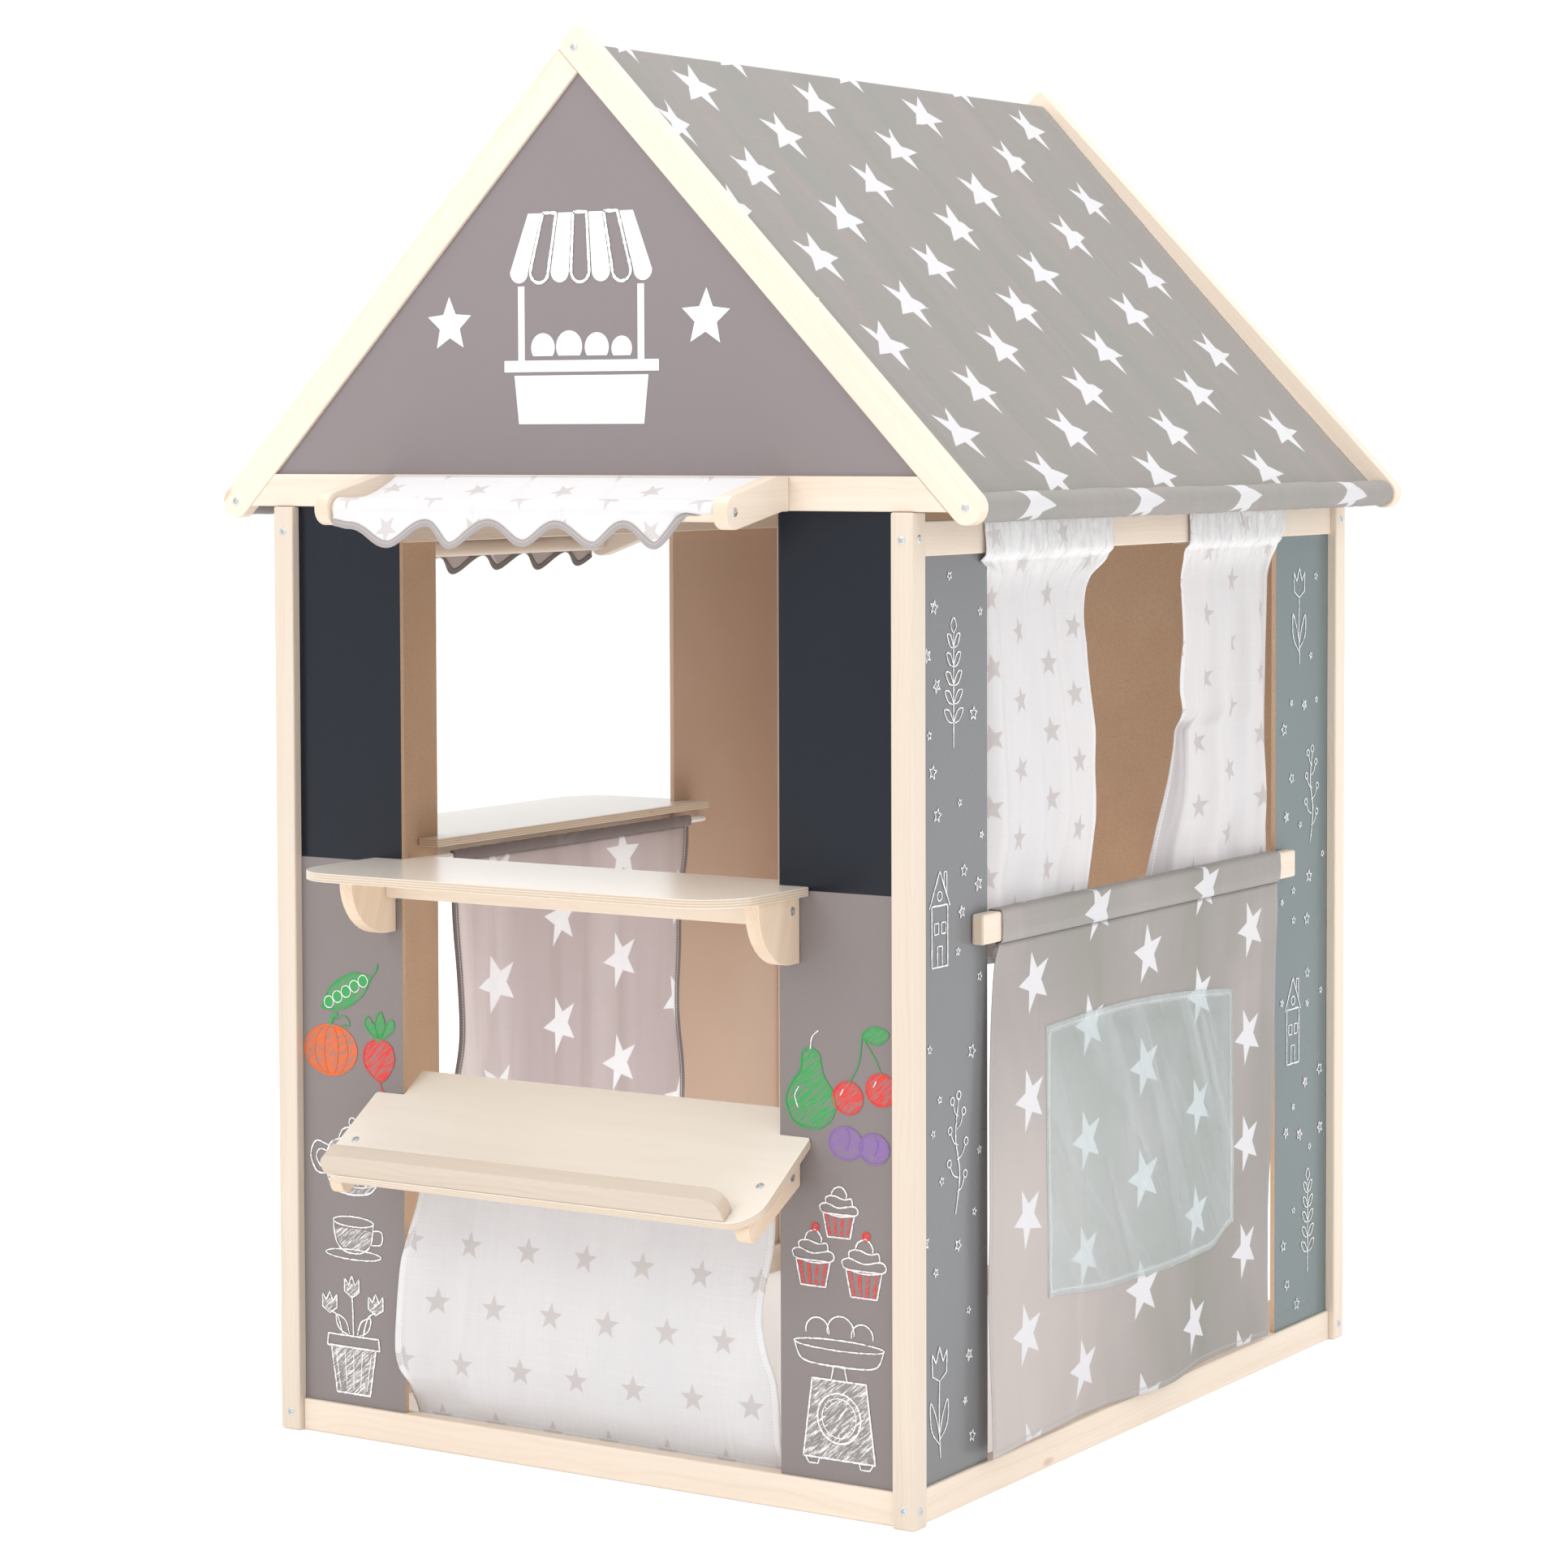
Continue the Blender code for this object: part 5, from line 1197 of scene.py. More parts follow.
# clear pocket sewn on the flap
def pocket_material():
    g = Graph("pocket_film")
    s = g.sep(g.attr("flat"))
    h = g.sep(g.attr("hem"))
    band = g.rng(h[0], 0.0085, 0.0092, 1.0, 0.0)
    streak = g.noise(g.comb(g.m('MULTIPLY', g.m('ADD', s[0], g.m('MULTIPLY', s[1], 0.55)), 15), g.m('MULTIPLY', s[1], 3.0), 0.0), 1.0, 3.0, 0.55, 0.8)
    comb = g.noise(g.comb(g.m('MULTIPLY', s[0], 170), g.m('MULTIPLY', s[1], 5), 3.0), 1.0, 2.0, 0.5)
    # painted highlights: whitish diffuse streaks across the film
    painted_highlight_streaks = g.rng(streak, 0.46, 0.74, 0.0, 0.24)
    line = g.m('MULTIPLY', g.rng(g.m('ABSOLUTE', g.m('SUBTRACT', h[0], 0.0058)), 0.0003, 0.0008, 1.0, 0.0),
               g.m('LESS_THAN', g.m('FRACT', g.m('DIVIDE', h[1], 0.0040)), 0.7))
    rim = g.rng(h[0], 0.0004, 0.0011, 1.0, 0.0)
    col = g.mix(g.rng(comb, 0.3, 0.7), (0.70, 0.74, 0.745), (0.82, 0.85, 0.85))
    col = g.mix(line, col, (0.86, 0.90, 0.91))
    fac = g.m('ADD', painted_highlight_streaks, g.m('MULTIPLY', band, g.rng(comb, 0.3, 0.7, 0.08, 0.22)))
    fac = g.m('ADD', fac, g.m('MULTIPLY', g.m('MAXIMUM', line, rim), 0.20), clamp=True)
    nrm = g.bump(g.m('ADD', streak, g.m('MULTIPLY', comb, 0.08)), 0.0045, 0.5)
    clear = g.shader("ShaderNodeBsdfTransparent", Color=(0.925, 0.950, 0.950))
    gloss = g.shader("ShaderNodeBsdfGlossy", Color=(0.95, 0.97, 0.97), Roughness=0.14, Normal=nrm)
    solid = g.shader("ShaderNodeBsdfDiffuse", Color=col, Normal=nrm)
    lw = g.nt.nodes.new("ShaderNodeFresnel")
    lw.inputs["IOR"].default_value = 1.38
    g.put(lw.inputs["Normal"], nrm)
    a = g.mixs(g.m('MULTIPLY', lw.outputs[0], 0.24), clear, gloss)
    return g.done(g.mixs(fac, a, solid))


PN, PM = 110, 80
P, fl, hm = grid(PN, PM), grid(PN, PM), grid(PN, PM)
for i in range(PN):
    for j in range(PM):
        k, t = i / (PN - 1), j / (PM - 1)
        y = (-0.2525 + 0.4840 * k) * (1 - t) + (-0.2450 + 0.4740 * k) * t
        low = 0.1970 - 0.0150 * smooth(k / 0.35) * (1 - smooth((k - 0.86) / 0.14)) + 0.0085 * smooth((k - 0.86) / 0.14)
        z = (0.5105 - 0.0140 * k + 0.0110 * math.sin(math.pi * k)) * (1 - t) + low * t
        inner = min(k, 1 - k) * 0.465, min(t, 1 - t) * 0.306
        dd = min(inner)
        puff = 0.0016 * smooth((dd - 0.009) / 0.03) + 0.0005 * math.sin(y * 60) * smooth((dd - 0.009) / 0.02)
        puff += 0.0005 * abs(math.sin(y * 150)) * (1 if inner[1] < 0.012 else 0)
        P[i, j] = (flap_at(y, z) + 0.0010 + puff, y, z)
        fl[i, j] = (y, z, 0)
        hm[i, j] = (dd, y if inner[1] < inner[0] else z, 0)
pk = make_sheet("door_pocket_sheet", P, fl, hm, 0.0004, pocket_material(), "flap")
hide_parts("door_pocket")


# ------------------------------------------------------------------ drawings
class Art:
    """chalk drawings: flat strokes and fills on a board.  to3(u, v, lift) places a point."""
    def __init__(self, to3):
        self.to3 = to3
        self.parts = {}

    def bucket(self, colour):
        return self.parts.setdefault(colour, ([], []))

    def stroke(self, pts, colour="white", w=0.0017, closed=False, smoothed=True, lift=0.00060, seed=0):
        w = w * 1.22
        self.count = (getattr(self, "count", 0) + 1) % 9
        lift += self.count * 0.00003
        pts = [Vector(p) for p in pts]
        if smoothed:
            pts = spline(pts, closed)
        elif closed:
            pts = pts + [pts[0]]
        pts = resample(pts, 0.0022)
        verts, faces = self.bucket(colour)
        base = len(verts)
        n = len(pts)
        key = pts[0].x * 91 + pts[0].y * 57 + seed
        for i, p in enumerate(pts):
            a = pts[max(i - 1, 0)]
            b = pts[min(i + 1, n - 1)]
            d = (b - a).normalized() if (b - a).length > 1e-9 else Vector((1, 0))
            nn = Vector((-d.y, d.x))
            wob = nn * 0.00035 * field(i * 0.35, key)
            ww = w * (0.85 + 0.5 * field(i * 0.55, key + 9.0)) / 2
            if not closed:
                ww *= 0.55 + 0.45 * min(1, 4 * min(i, n - 1 - i) / max(n, 1) + 0.3)
            for s in (1, -1):
                q = p + wob + nn * ww * s * (1 + 0.35 * field(i * 1.7, key + 20.0 * s))
                verts.append(self.to3(q.x, q.y, lift))
        for i in range(n - 1):
            faces.append((base + 2 * i, base + 2 * i + 1, base + 2 * i + 3, base + 2 * i + 2))

    def fill(self, pts, colour, smoothed=True, lift=0.00012):
        if colour.endswith("_thick"):
            lift = 0.00036
        self.fills = (getattr(self, "fills", 0) + 1) % 6
        lift += self.fills * 0.00004
        pts = [Vector(p) for p in pts]
        if smoothed:
            pts = spline(pts, True)[:-1]
        pts = resample(pts + [pts[0]], 0.003)[:-1]
        verts, faces = self.bucket(colour)
        base = len(verts)
        import mathutils
        tris = mathutils.geometry.tessellate_polygon([[Vector((p.x, p.y, 0)) for p in pts]])
        for p in pts:
            verts.append(self.to3(p.x, p.y, lift))
        for t in tris:
            if len(set(t)) == 3:
                faces.append(tuple(base + q for q in t))

    def build(self, name, mats, outward, thick=0.00008):
        for colour, (verts, faces) in self.parts.items():
            if not faces:
                continue
            me = bpy.data.meshes.new(name + "_" + colour)
            off = Vector(outward) * thick
            n = len(verts)
            bm = bmesh.new()
            top = [bm.verts.new(Vector(v) + off) for v in verts]
            bot = [bm.verts.new(Vector(v)) for v in verts]
            count = {}
            tops = []
            for f in faces:
                nrm = (Vector(verts[f[1]]) - Vector(verts[f[0]])).cross(Vector(verts[f[2]]) - Vector(verts[f[0]]))
                if nrm.length < 1e-12:
                    continue
                if nrm.dot(Vector(outward)) < 0:
                    f = f[::-1]
                tops.append(f)
                for a, b in zip(f, f[1:] + f[:1]):
                    count[(a, b)] = count.get((a, b), 0) + 1
            for f in tops:
                try:
                    bm.faces.new([top[q] for q in f])
                    bm.faces.new([bot[q] for q in f[::-1]])
                except ValueError:
                    pass
            for (a, b) in count:
                if (b, a) not in count:
                    try:
                        bm.faces.new([top[a], bot[a], bot[b], top[b]])
                    except ValueError:
                        pass
            bm.verts.ensure_lookup_table()
            loose = [v for v in bm.verts if not v.link_faces]
            bmesh.ops.delete(bm, geom=loose, context='VERTS')
            bm.to_mesh(me)
            bm.free()
            ob = bpy.data.objects.new(name + "_" + colour, me)
            bpy.context.scene.collection.objects.link(ob)
            me.materials.append(mats[colour])
            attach(ob, "stall")


def spline(pts, closed):
    n = len(pts)
    out = []
    rng_ = range(n if closed else n - 1)
    for i in rng_:
        p0 = pts[(i - 1) % n] if closed or i else pts[i]
        p1 = pts[i]
        p2 = pts[(i + 1) % n]
        p3 = pts[(i + 2) % n] if closed or i + 2 < n else pts[i + 1]
        for k in range(8):
            t = k / 8
            out.append(0.5 * ((2 * p1) + (p2 - p0) * t + (2 * p0 - 5 * p1 + 4 * p2 - p3) * t * t + (3 * p1 - p0 - 3 * p2 + p3) * t ** 3))
    out.append(pts[0] if closed else pts[-1])
    return out


def resample(pts, step):
    out = [pts[0]]
    for a, b in zip(pts, pts[1:]):
        L = (b - a).length
        m = max(1, int(round(L / step)))
        for q in range(1, m + 1):
            out.append(a + (b - a) * q / m)
    return out


def chalk_material(name, colour, board, dense, angle=0.7):
    g = Graph(name)
    p = g.obj()
    s = g.sep(p)
    flat = g.m('ADD', s[0], s[1])
    ca, sa_ = math.cos(angle), math.sin(angle)
    a = g.m('ADD', g.m('MULTIPLY', flat, ca), g.m('MULTIPLY', s[2], sa_))
    b = g.m('SUBTRACT', g.m('MULTIPLY', s[2], ca), g.m('MULTIPLY', flat, sa_))
    hatch = g.noise(g.comb(g.m('MULTIPLY', a, 70), g.m('MULTIPLY', b, 620), 0.4), 1.0, 3.0, 0.65, 0.5)
    grit = g.noise(p, 1700.0, 2.0, 0.7)
    f = g.m('ADD', g.m('MULTIPLY', hatch, 0.72), g.m('MULTIPLY', grit, 0.28))
    f = g.rng(f, 0.62 - dense * 0.30, 0.70 - dense * 0.30)
    f = g.m('MULTIPLY_ADD', f, 0.92, 0.03)
    col = g.mix(f, board, colour)
    nrm = g.bump(g.m('MULTIPLY', f, g.m('ADD', grit, 0.5)), 0.00012, 0.6)
    return g.done(g.principled(col, g.rng(f, 0.0, 1.0, 0.36, 0.85), nrm, Specular_IOR_Level=0.35))


def chalk_set(board, tag):
    c = {"white": (0.86, 0.85, 0.85), "red": lin(222, 62, 56), "green": lin(58, 160, 86), "orange": lin(228, 108, 52),
         "purple": lin(140, 106, 172)}
    out = {}
    for k, v in c.items():
        out[k] = chalk_material(f"chalk_{k}_{tag}", v, board, 0.85)
        out[k + "_fill"] = chalk_material(f"chalk_{k}_fill_{tag}", v, board, 0.62 if k != "white" else 0.38)
        out[k + "_thick"] = chalk_material(f"chalk_{k}_thick_{tag}", v, board, 0.85)
    return out


FRONT_Y = -0.5425
art = Art(lambda u, v, l: tuple(W(u, FRONT_Y - l, v)))


def ell(cx, cy, rx, ry, a0=0, a1=360, n=16, tilt=0.0):
    out = []
    full = abs(a1 - a0) >= 360
    for k in range(n if full else n + 1):
        a = math.radians(a0 + (a1 - a0) * k / n)
        x, y = rx * math.cos(a), ry * math.sin(a)
        c, s = math.cos(tilt), math.sin(tilt)
        out.append((cx + x * c - y * s, cy + x * s + y * c))
    return out


def star_pts(cx, cy, r, turn=0.0, ratio=0.42):
    out = []
    for k in range(10):
        a = math.pi / 2 + turn + k * math.pi / 5
        rr = r if k % 2 == 0 else r * ratio
        out.append((cx + rr * math.cos(a), cy + rr * math.sin(a)))
    return out


# left board: pumpkin, pea pod and radish
def pumpkin(cx, cy, s):
    art.fill(ell(cx, cy, 30 * s, 23 * s), "orange_fill")
    for rx in (30, 19, 8):
        art.stroke(ell(cx, cy, rx * s, 23 * s), "orange", 0.0015, closed=True)
    art.stroke([(cx, cy + 22 * s), (cx + 2 * s, cy + 30 * s), (cx + 8 * s, cy + 34 * s)], "green_thick", 0.0042)
    art.stroke([(cx + 3 * s, cy + 27 * s), (cx + 16 * s, cy + 32 * s), (cx + 22 * s, cy + 24 * s), (cx + 12 * s, cy + 23 * s)], "green", 0.0014)


def pod(cx, cy, s, tilt):
    top = [(-38, 0), (-20, 13), (0, 16), (20, 13), (38, 0)]
    low = [(38, 0), (20, -11), (0, -14), (-20, -11), (-38, 0)]
    c, sn = math.cos(tilt), math.sin(tilt)
    tr = lambda q: (cx + (q[0] * c - q[1] * sn) * s, cy + (q[0] * sn + q[1] * c) * s)
    art.fill([tr(q) for q in top[:-1] + low[:-1]], "green_fill")
    art.stroke([tr(q) for q in top], "green", 0.0015)
    art.stroke([tr(q) for q in low], "green", 0.0015)
    for k in range(-2, 3):
        q = tr((k * 13, 1))
        art.fill(ell(q[0], q[1], 6.2 * s, 6.2 * s, n=12), "green_thick")
        art.stroke(ell(q[0], q[1], 6.2 * s, 6.2 * s, n=12), "white", 0.0010, closed=True)
    art.stroke([tr((38, 0)), tr((46, 3)), tr((52, 9))], "green_thick", 0.0024)


def radish(cx, cy, s):
    body = [(0, 20), (15, 15), (20, 0), (13, -14), (3, -22), (-8, -17), (-18, -5), (-17, 10), (-8, 18)]
    art.fill([(cx + x * s, cy + y * s) for x, y in body], "red_fill")
    art.stroke([(cx + x * s, cy + y * s) for x, y in body], "red", 0.0016, closed=True)
    art.stroke([(cx + 2 * s, cy - 21 * s), (cx + 4 * s, cy - 29 * s), (cx + 10 * s, cy - 34 * s)], "red", 0.0014)
    for dx, hgt in ((-10, 20), (2, 26), (13, 19)):
        leaf = [(cx + 0 * s, cy + 18 * s), (cx + (dx - 6) * s, cy + (22 + hgt * 0.5) * s), (cx + dx * s * 1.3, cy + (22 + hgt) * s),
                (cx + (dx + 6) * s, cy + (22 + hgt * 0.45) * s)]
        art.fill(leaf, "green_fill")
        art.stroke(leaf, "green", 0.0014, closed=True)


K = 0.001
pod(-0.344, 0.528, K * 1.12, 0.50)
pumpkin(-0.368, 0.458, K * 1.30)
radish(-0.297, 0.452, K * 1.18)


# teapot with a cup
def teapot(cx, cy, s):
    P_ = lambda pts: [(cx + x * s, cy + y * s) for x, y in pts]
    body = P_([(-28, 24), (-38, 6), (-36, -16), (-24, -31), (0, -35), (24, -31), (36, -16), (38, 6), (28, 24), (0, 29)])
    art.fill(body, "white_fill")
    art.stroke(body, "white", 0.0018, closed=True)
    art.stroke(P_([(-20, 28), (-14, 38), (0, 42), (14, 38), (20, 28)]), "white", 0.0017)
    art.stroke(ell(cx, cy + 47 * s, 5 * s, 5 * s, n=12), "white", 0.0017, closed=True)
    art.stroke(P_([(36, -8), (52, 2), (54, 18), (64, 27)]), "white", 0.0017)
    art.stroke(P_([(34, 14), (44, 20), (50, 30), (58, 34), (64, 27)]), "white", 0.0017)
    art.stroke(P_([(-34, 18), (-52, 22), (-60, 6), (-52, -12), (-36, -14)]), "white", 0.0018)
    art.stroke(P_([(-33, 11), (-47, 13), (-52, 4), (-46, -6), (-37, -8)]), "white", 0.0015)
    art.stroke(P_([(-33, -22), (-12, -26), (12, -26), (33, -22)]), "white", 0.0014)
    for dx in (-18, 0, 18):
        art.stroke(ell(cx + dx * s, cy - 4 * s, 6 * s, 8 * s, n=12), "white", 0.0016, closed=True)


teapot(-0.336, 0.325, K * 1.05)
cupx, cupy = -0.336, 0.238
art.stroke([(cupx - 0.030, cupy + 0.018), (cupx - 0.026, cupy - 0.006), (cupx - 0.012, cupy - 0.018), (cupx + 0.012, cupy - 0.018),
            (cupx + 0.026, cupy - 0.006), (cupx + 0.030, cupy + 0.018)], "white", 0.0017)
art.stroke(ell(cupx, cupy + 0.018, 0.030, 0.006), "white", 0.0015, closed=True)
art.stroke([(cupx + 0.029, cupy + 0.010), (cupx + 0.042, cupy + 0.009), (cupx + 0.041, cupy - 0.005), (cupx + 0.025, cupy - 0.007)], "white", 0.0015)
art.stroke(ell(cupx, cupy - 0.021, 0.041, 0.006), "white", 0.0015, closed=True)
art.fill([(cupx - 0.026, cupy + 0.008), (cupx - 0.022, cupy - 0.008), (cupx - 0.010, cupy - 0.016), (cupx + 0.010, cupy - 0.016),
          (cupx + 0.022, cupy - 0.008), (cupx + 0.026, cupy + 0.008)], "white_fill")


# flower pot
def flower_pot(cx, cy, s):
    P_ = lambda pts: [(cx + x * s, cy + y * s) for x, y in pts]
    pot = P_([(-34, 8), (34, 8), (25, -48), (-25, -48)])
    art.fill(pot, "white_fill", smoothed=False)
    art.stroke(pot, "white", 0.0019, closed=True, smoothed=False)
    rim = P_([(-40, 8), (40, 8), (38, 22), (-38, 22)])
    art.stroke(rim, "white", 0.0019, closed=True, smoothed=False)
    for q in range(5):
        art.stroke(P_([(-27 + q * 13.5, 3), (-20 + q * 10, -43)]), "white", 0.0013, smoothed=False)
    for bx, tx, ty in ((-16, -36, 62), (0, -2, 84), (14, 34, 66)):
        art.stroke(P_([(bx, 22), (bx + (tx - bx) * 0.4, 22 + (ty - 22) * 0.55), (tx, ty - 12)]), "white", 0.0017)
        art.stroke(P_([(tx - 11, ty + 8), (tx - 11, ty - 8), (tx, ty - 15), (tx + 11, ty - 8), (tx + 11, ty + 8),
                       (tx + 5, ty), (tx, ty + 11), (tx - 5, ty)]), "white", 0.0016, closed=True, smoothed=False)
        art.fill(P_([(tx - 10, ty + 3), (tx - 10, ty - 7), (tx, ty - 14), (tx + 10, ty - 7), (tx + 10, ty + 3)]), "white_fill", smoothed=False)
    for sgn in (-1, 1):
        art.stroke(P_([(sgn * 6, 22), (sgn * 22, 30), (sgn * 26, 46), (sgn * 12, 40), (sgn * 6, 24)]), "white", 0.0016)


flower_pot(-0.337, 0.098, K * 0.98)


# right board: pear, plum and cherries
def pear(cx, cy, s):
    P_ = lambda pts: [(cx + x * s, cy + y * s) for x, y in pts]
    body = P_([(0, 33), (9, 27), (12, 12), (22, -4), (23, -20), (12, -32), (-4, -34), (-18, -28), (-24, -12), (-19, 2), (-10, 14), (-8, 28)])
    art.fill(body, "green_fill")
    art.stroke(body, "green", 0.0016, closed=True)
    art.stroke(P_([(0, 32), (2, 42), (8, 48)]), "white", 0.0014)
    art.stroke(P_([(-12, -18), (-15, -8), (-11, 0)]), "white", 0.0012)


def cherry(cx, cy, s, stem):
    art.fill(ell(cx, cy, 16 * s, 15 * s, n=14), "red_fill")
    art.stroke(ell(cx, cy, 16 * s, 15 * s, n=14), "red", 0.0016, closed=True)
    art.stroke([(cx + 1 * s, cy + 13 * s), ((cx + stem[0]) / 2 + 4 * s, (cy + stem[1]) / 2 + 4 * s), stem], "green", 0.0014)
    art.stroke([(cx - 8 * s, cy + 2 * s), (cx - 5 * s, cy + 8 * s)], "white", 0.0012)


pear(0.300, 0.470, K * 1.32)
stem = (0.366, 0.531)
cherry(0.348, 0.462, K * 1.18, stem)
cherry(0.390, 0.474, K * 1.18, stem)
art.fill([(0.366, 0.531), (0.380, 0.542), (0.400, 0.536), (0.386, 0.523)], "green_fill")
art.stroke([(0.366, 0.531), (0.380, 0.542), (0.400, 0.536), (0.386, 0.523)], "green", 0.0014, closed=True)
art.fill(ell(0.345, 0.412, 0.021, 0.018), "purple_fill")
art.stroke(ell(0.345, 0.412, 0.021, 0.018), "purple", 0.0016, closed=True)
art.stroke([(0.345, 0.429), (0.350, 0.419), (0.346, 0.404)], "purple", 0.0013)
art.fill(ell(0.381, 0.409, 0.019, 0.0165), "purple_fill")
art.stroke(ell(0.381, 0.409, 0.019, 0.0165), "purple", 0.0016, closed=True)
art.stroke([(0.381, 0.425), (0.386, 0.414), (0.381, 0.402)], "purple", 0.0013)


def cupcake(cx, cy, s, topper=True):
    P_ = lambda pts: [(cx + x * s, cy + y * s) for x, y in pts]
    wrap = P_([(-25, 4), (25, 4), (18, -28), (-18, -28)])
    art.stroke(wrap, "white", 0.0016, closed=True, smoothed=False)
    for q in range(4):
        x0, x1 = -25 + q * 12.5 + 3, -18 + q * 9 + 2
        art.fill(P_([(x0, 3), (x0 + 5, 3), (x1 + 4, -27), (x1, -27)]), "red_fill", smoothed=False)
    art.stroke(P_([(-28, 6), (-30, 14), (-20, 18), (0, 13), (22, 17), (30, 13), (27, 5), (0, 1), (-28, 6)]), "white", 0.0016)
    art.stroke(P_([(-20, 18), (-20, 26), (-8, 29), (8, 25), (20, 27), (22, 17)]), "white", 0.0016)
    art.stroke(P_([(-12, 29), (-8, 38), (4, 42), (12, 34), (12, 27)]), "white", 0.0016)
    if topper:
        art.fill(ell(cx + 3 * s, cy + 46 * s, 5 * s, 5 * s, n=12), "red_fill")
        art.stroke(ell(cx + 3 * s, cy + 46 * s, 5 * s, 5 * s, n=12), "red", 0.0014, closed=True)


cupcake(0.336, 0.330, K * 0.80, False)
cupcake(0.303, 0.276, K * 0.88)
cupcake(0.368, 0.270, K * 0.92)


def scales(cx, cy, s):
    P_ = lambda pts: [(cx + x * s, cy + y * s) for x, y in pts]
    base = P_([(-40, -66), (40, -66), (30, 10), (-30, 10)])
    art.fill(base, "white_fill", smoothed=False)
    art.stroke(base, "white", 0.0019, closed=True, smoothed=False)
    art.stroke(ell(cx, cy - 26 * s, 24 * s, 24 * s, n=20), "white", 0.0020, closed=True)
    art.stroke(ell(cx, cy - 26 * s, 19 * s, 19 * s, n=20), "white", 0.0012, closed=True)
    for q in range(12):
        a = q * math.pi / 6
        art.stroke([(cx + 15 * s * math.cos(a), cy + (-26 + 15 * math.sin(a)) * s), (cx + 19 * s * math.cos(a), cy + (-26 + 19 * math.sin(a)) * s)],
                   "white", 0.0012, smoothed=False)
    art.stroke(P_([(0, -26), (9, -14)]), "white", 0.0019, smoothed=False)
    art.stroke(P_([(-9, 10), (-6, 24), (6, 24), (9, 10)]), "white", 0.0017, smoothed=False)
    art.stroke(P_([(-50, 44), (-42, 28), (-20, 24), (20, 24), (42, 28), (50, 44)]), "white", 0.0018)
    art.stroke(ell(cx, cy + 44 * s, 50 * s, 5 * s, n=20), "white", 0.0015, closed=True)
    for dx, r in ((-24, 13), (2, 15), (26, 12)):
        art.stroke(ell(cx + dx * s, cy + (46 + r * 0.75) * s, r * s, r * s, -10, 190, n=14), "white", 0.0016)
    art.stroke(P_([(-38, -66), (-34, -72), (-24, -72), (-22, -66)]), "white", 0.0016, smoothed=False)
    art.stroke(P_([(38, -66), (34, -72), (24, -72), (22, -66)]), "white", 0.0016, smoothed=False)


scales(0.336, 0.138, K * 1.15)
art.build("drawing_front", chalk_set(WARM, "front"), (0, -1, 0))

# ------------------------------------------------------------------ drawings on the doorway side
side = Art(lambda u, v, l: tuple(W(0.4255 + l, u, v)))
main_art = art
art = side


def sprig(cx, cy, s, lean=0.0, pairs=5):
    art.stroke([(cx, cy - 66 * s), (cx + lean * 20 * s, cy), (cx + lean * 34 * s, cy + 62 * s)], "white", 0.0018)
    for q in range(pairs):
        t = q / (pairs - 1)
        y = cy + (-38 + 84 * t) * s
        x = cx + lean * (12 + 20 * t) * s
        ln = (21 - 7 * t) * s
        for sg in (-1, 1):
            tip = (x + sg * ln, y + 15 * s)
            art.stroke([(x, y), (x + sg * ln * 0.45, y + 14 * s), tip, (x + sg * ln * 0.6, y + 3 * s), (x, y)], "white", 0.0015)
    art.stroke([(cx + lean * 34 * s, cy + 62 * s), (cx + lean * 34 * s - 6 * s, cy + 71 * s), (cx + lean * 34 * s, cy + 80 * s),
                (cx + lean * 34 * s + 6 * s, cy + 71 * s), (cx + lean * 34 * s, cy + 62 * s)], "white", 0.0015)


def little_house(cx, cy, s):
    P_ = lambda pts: [(cx + x * s, cy + y * s) for x, y in pts]
    art.stroke(P_([(-20, -60), (20, -60), (20, 18), (-20, 18)]), "white", 0.0017, closed=True, smoothed=False)
    art.stroke(P_([(-26, 16), (0, 62), (26, 16)]), "white", 0.0019, smoothed=False)
    art.stroke(P_([(-6, -60), (-6, -34), (6, -34), (6, -60)]), "white", 0.0015, smoothed=False)
    art.stroke(P_([(-14, -18), (-3, -18), (-3, -4), (-14, -4)]), "white", 0.0014, closed=True, smoothed=False)
    art.stroke(P_([(4, -18), (15, -18), (15, -4), (4, -4)]), "white", 0.0014, closed=True, smoothed=False)
    art.stroke(ell(cx, cy + 30 * s, 6 * s, 6 * s, n=12), "white", 0.0014, closed=True)
    art.stroke(P_([(11, 46), (11, 60), (18, 60), (18, 32)]), "white", 0.0015, smoothed=False)


def berry_twig(cx, cy, s):
    art.stroke([(cx - 4 * s, cy - 64 * s), (cx + 5 * s, cy - 20 * s), (cx - 4 * s, cy + 22 * s), (cx + 3 * s, cy + 62 * s)], "white", 0.0018)
    for q, (sg, y, ln) in enumerate(((1, -40, 16), (-1, -24, 18), (1, -4, 18), (-1, 12, 16), (1, 30, 13), (-1, 44, 11))):
        x0 = cx + (2 if q % 2 else -1) * s
        tip = (x0 + sg * ln * s, cy + (y + 14) * s)
        art.stroke([(x0, cy + y * s), (x0 + sg * ln * 0.6 * s, cy + (y + 4) * s), tip], "white", 0.0014)
        art.stroke(ell(tip[0] + sg * 2 * s, tip[1] + 4 * s, 4.2 * s, 4.2 * s, n=10), "white", 0.0014, closed=True)
    art.stroke(ell(cx + 3 * s, cy + 67 * s, 4.6 * s, 4.6 * s, n=10), "white", 0.0014, closed=True)


def tulip(cx, cy, s):
    P_ = lambda pts: [(cx + x * s, cy + y * s) for x, y in pts]
    art.stroke(P_([(2, -66), (-1, -20), (0, 24)]), "white", 0.0018)
    art.stroke(P_([(0, 24), (-16, 32), (-17, 58), (-8, 46), (0, 64), (8, 46), (17, 58), (16, 32), (0, 24)]), "white", 0.0017, smoothed=False)
    art.stroke(P_([(1, -50), (-18, -30), (-20, 2), (-6, -20), (0, -40)]), "white", 0.0016)
    art.stroke(P_([(1, -44), (18, -28), (19, 0), (7, -18), (1, -36)]), "white", 0.0016)


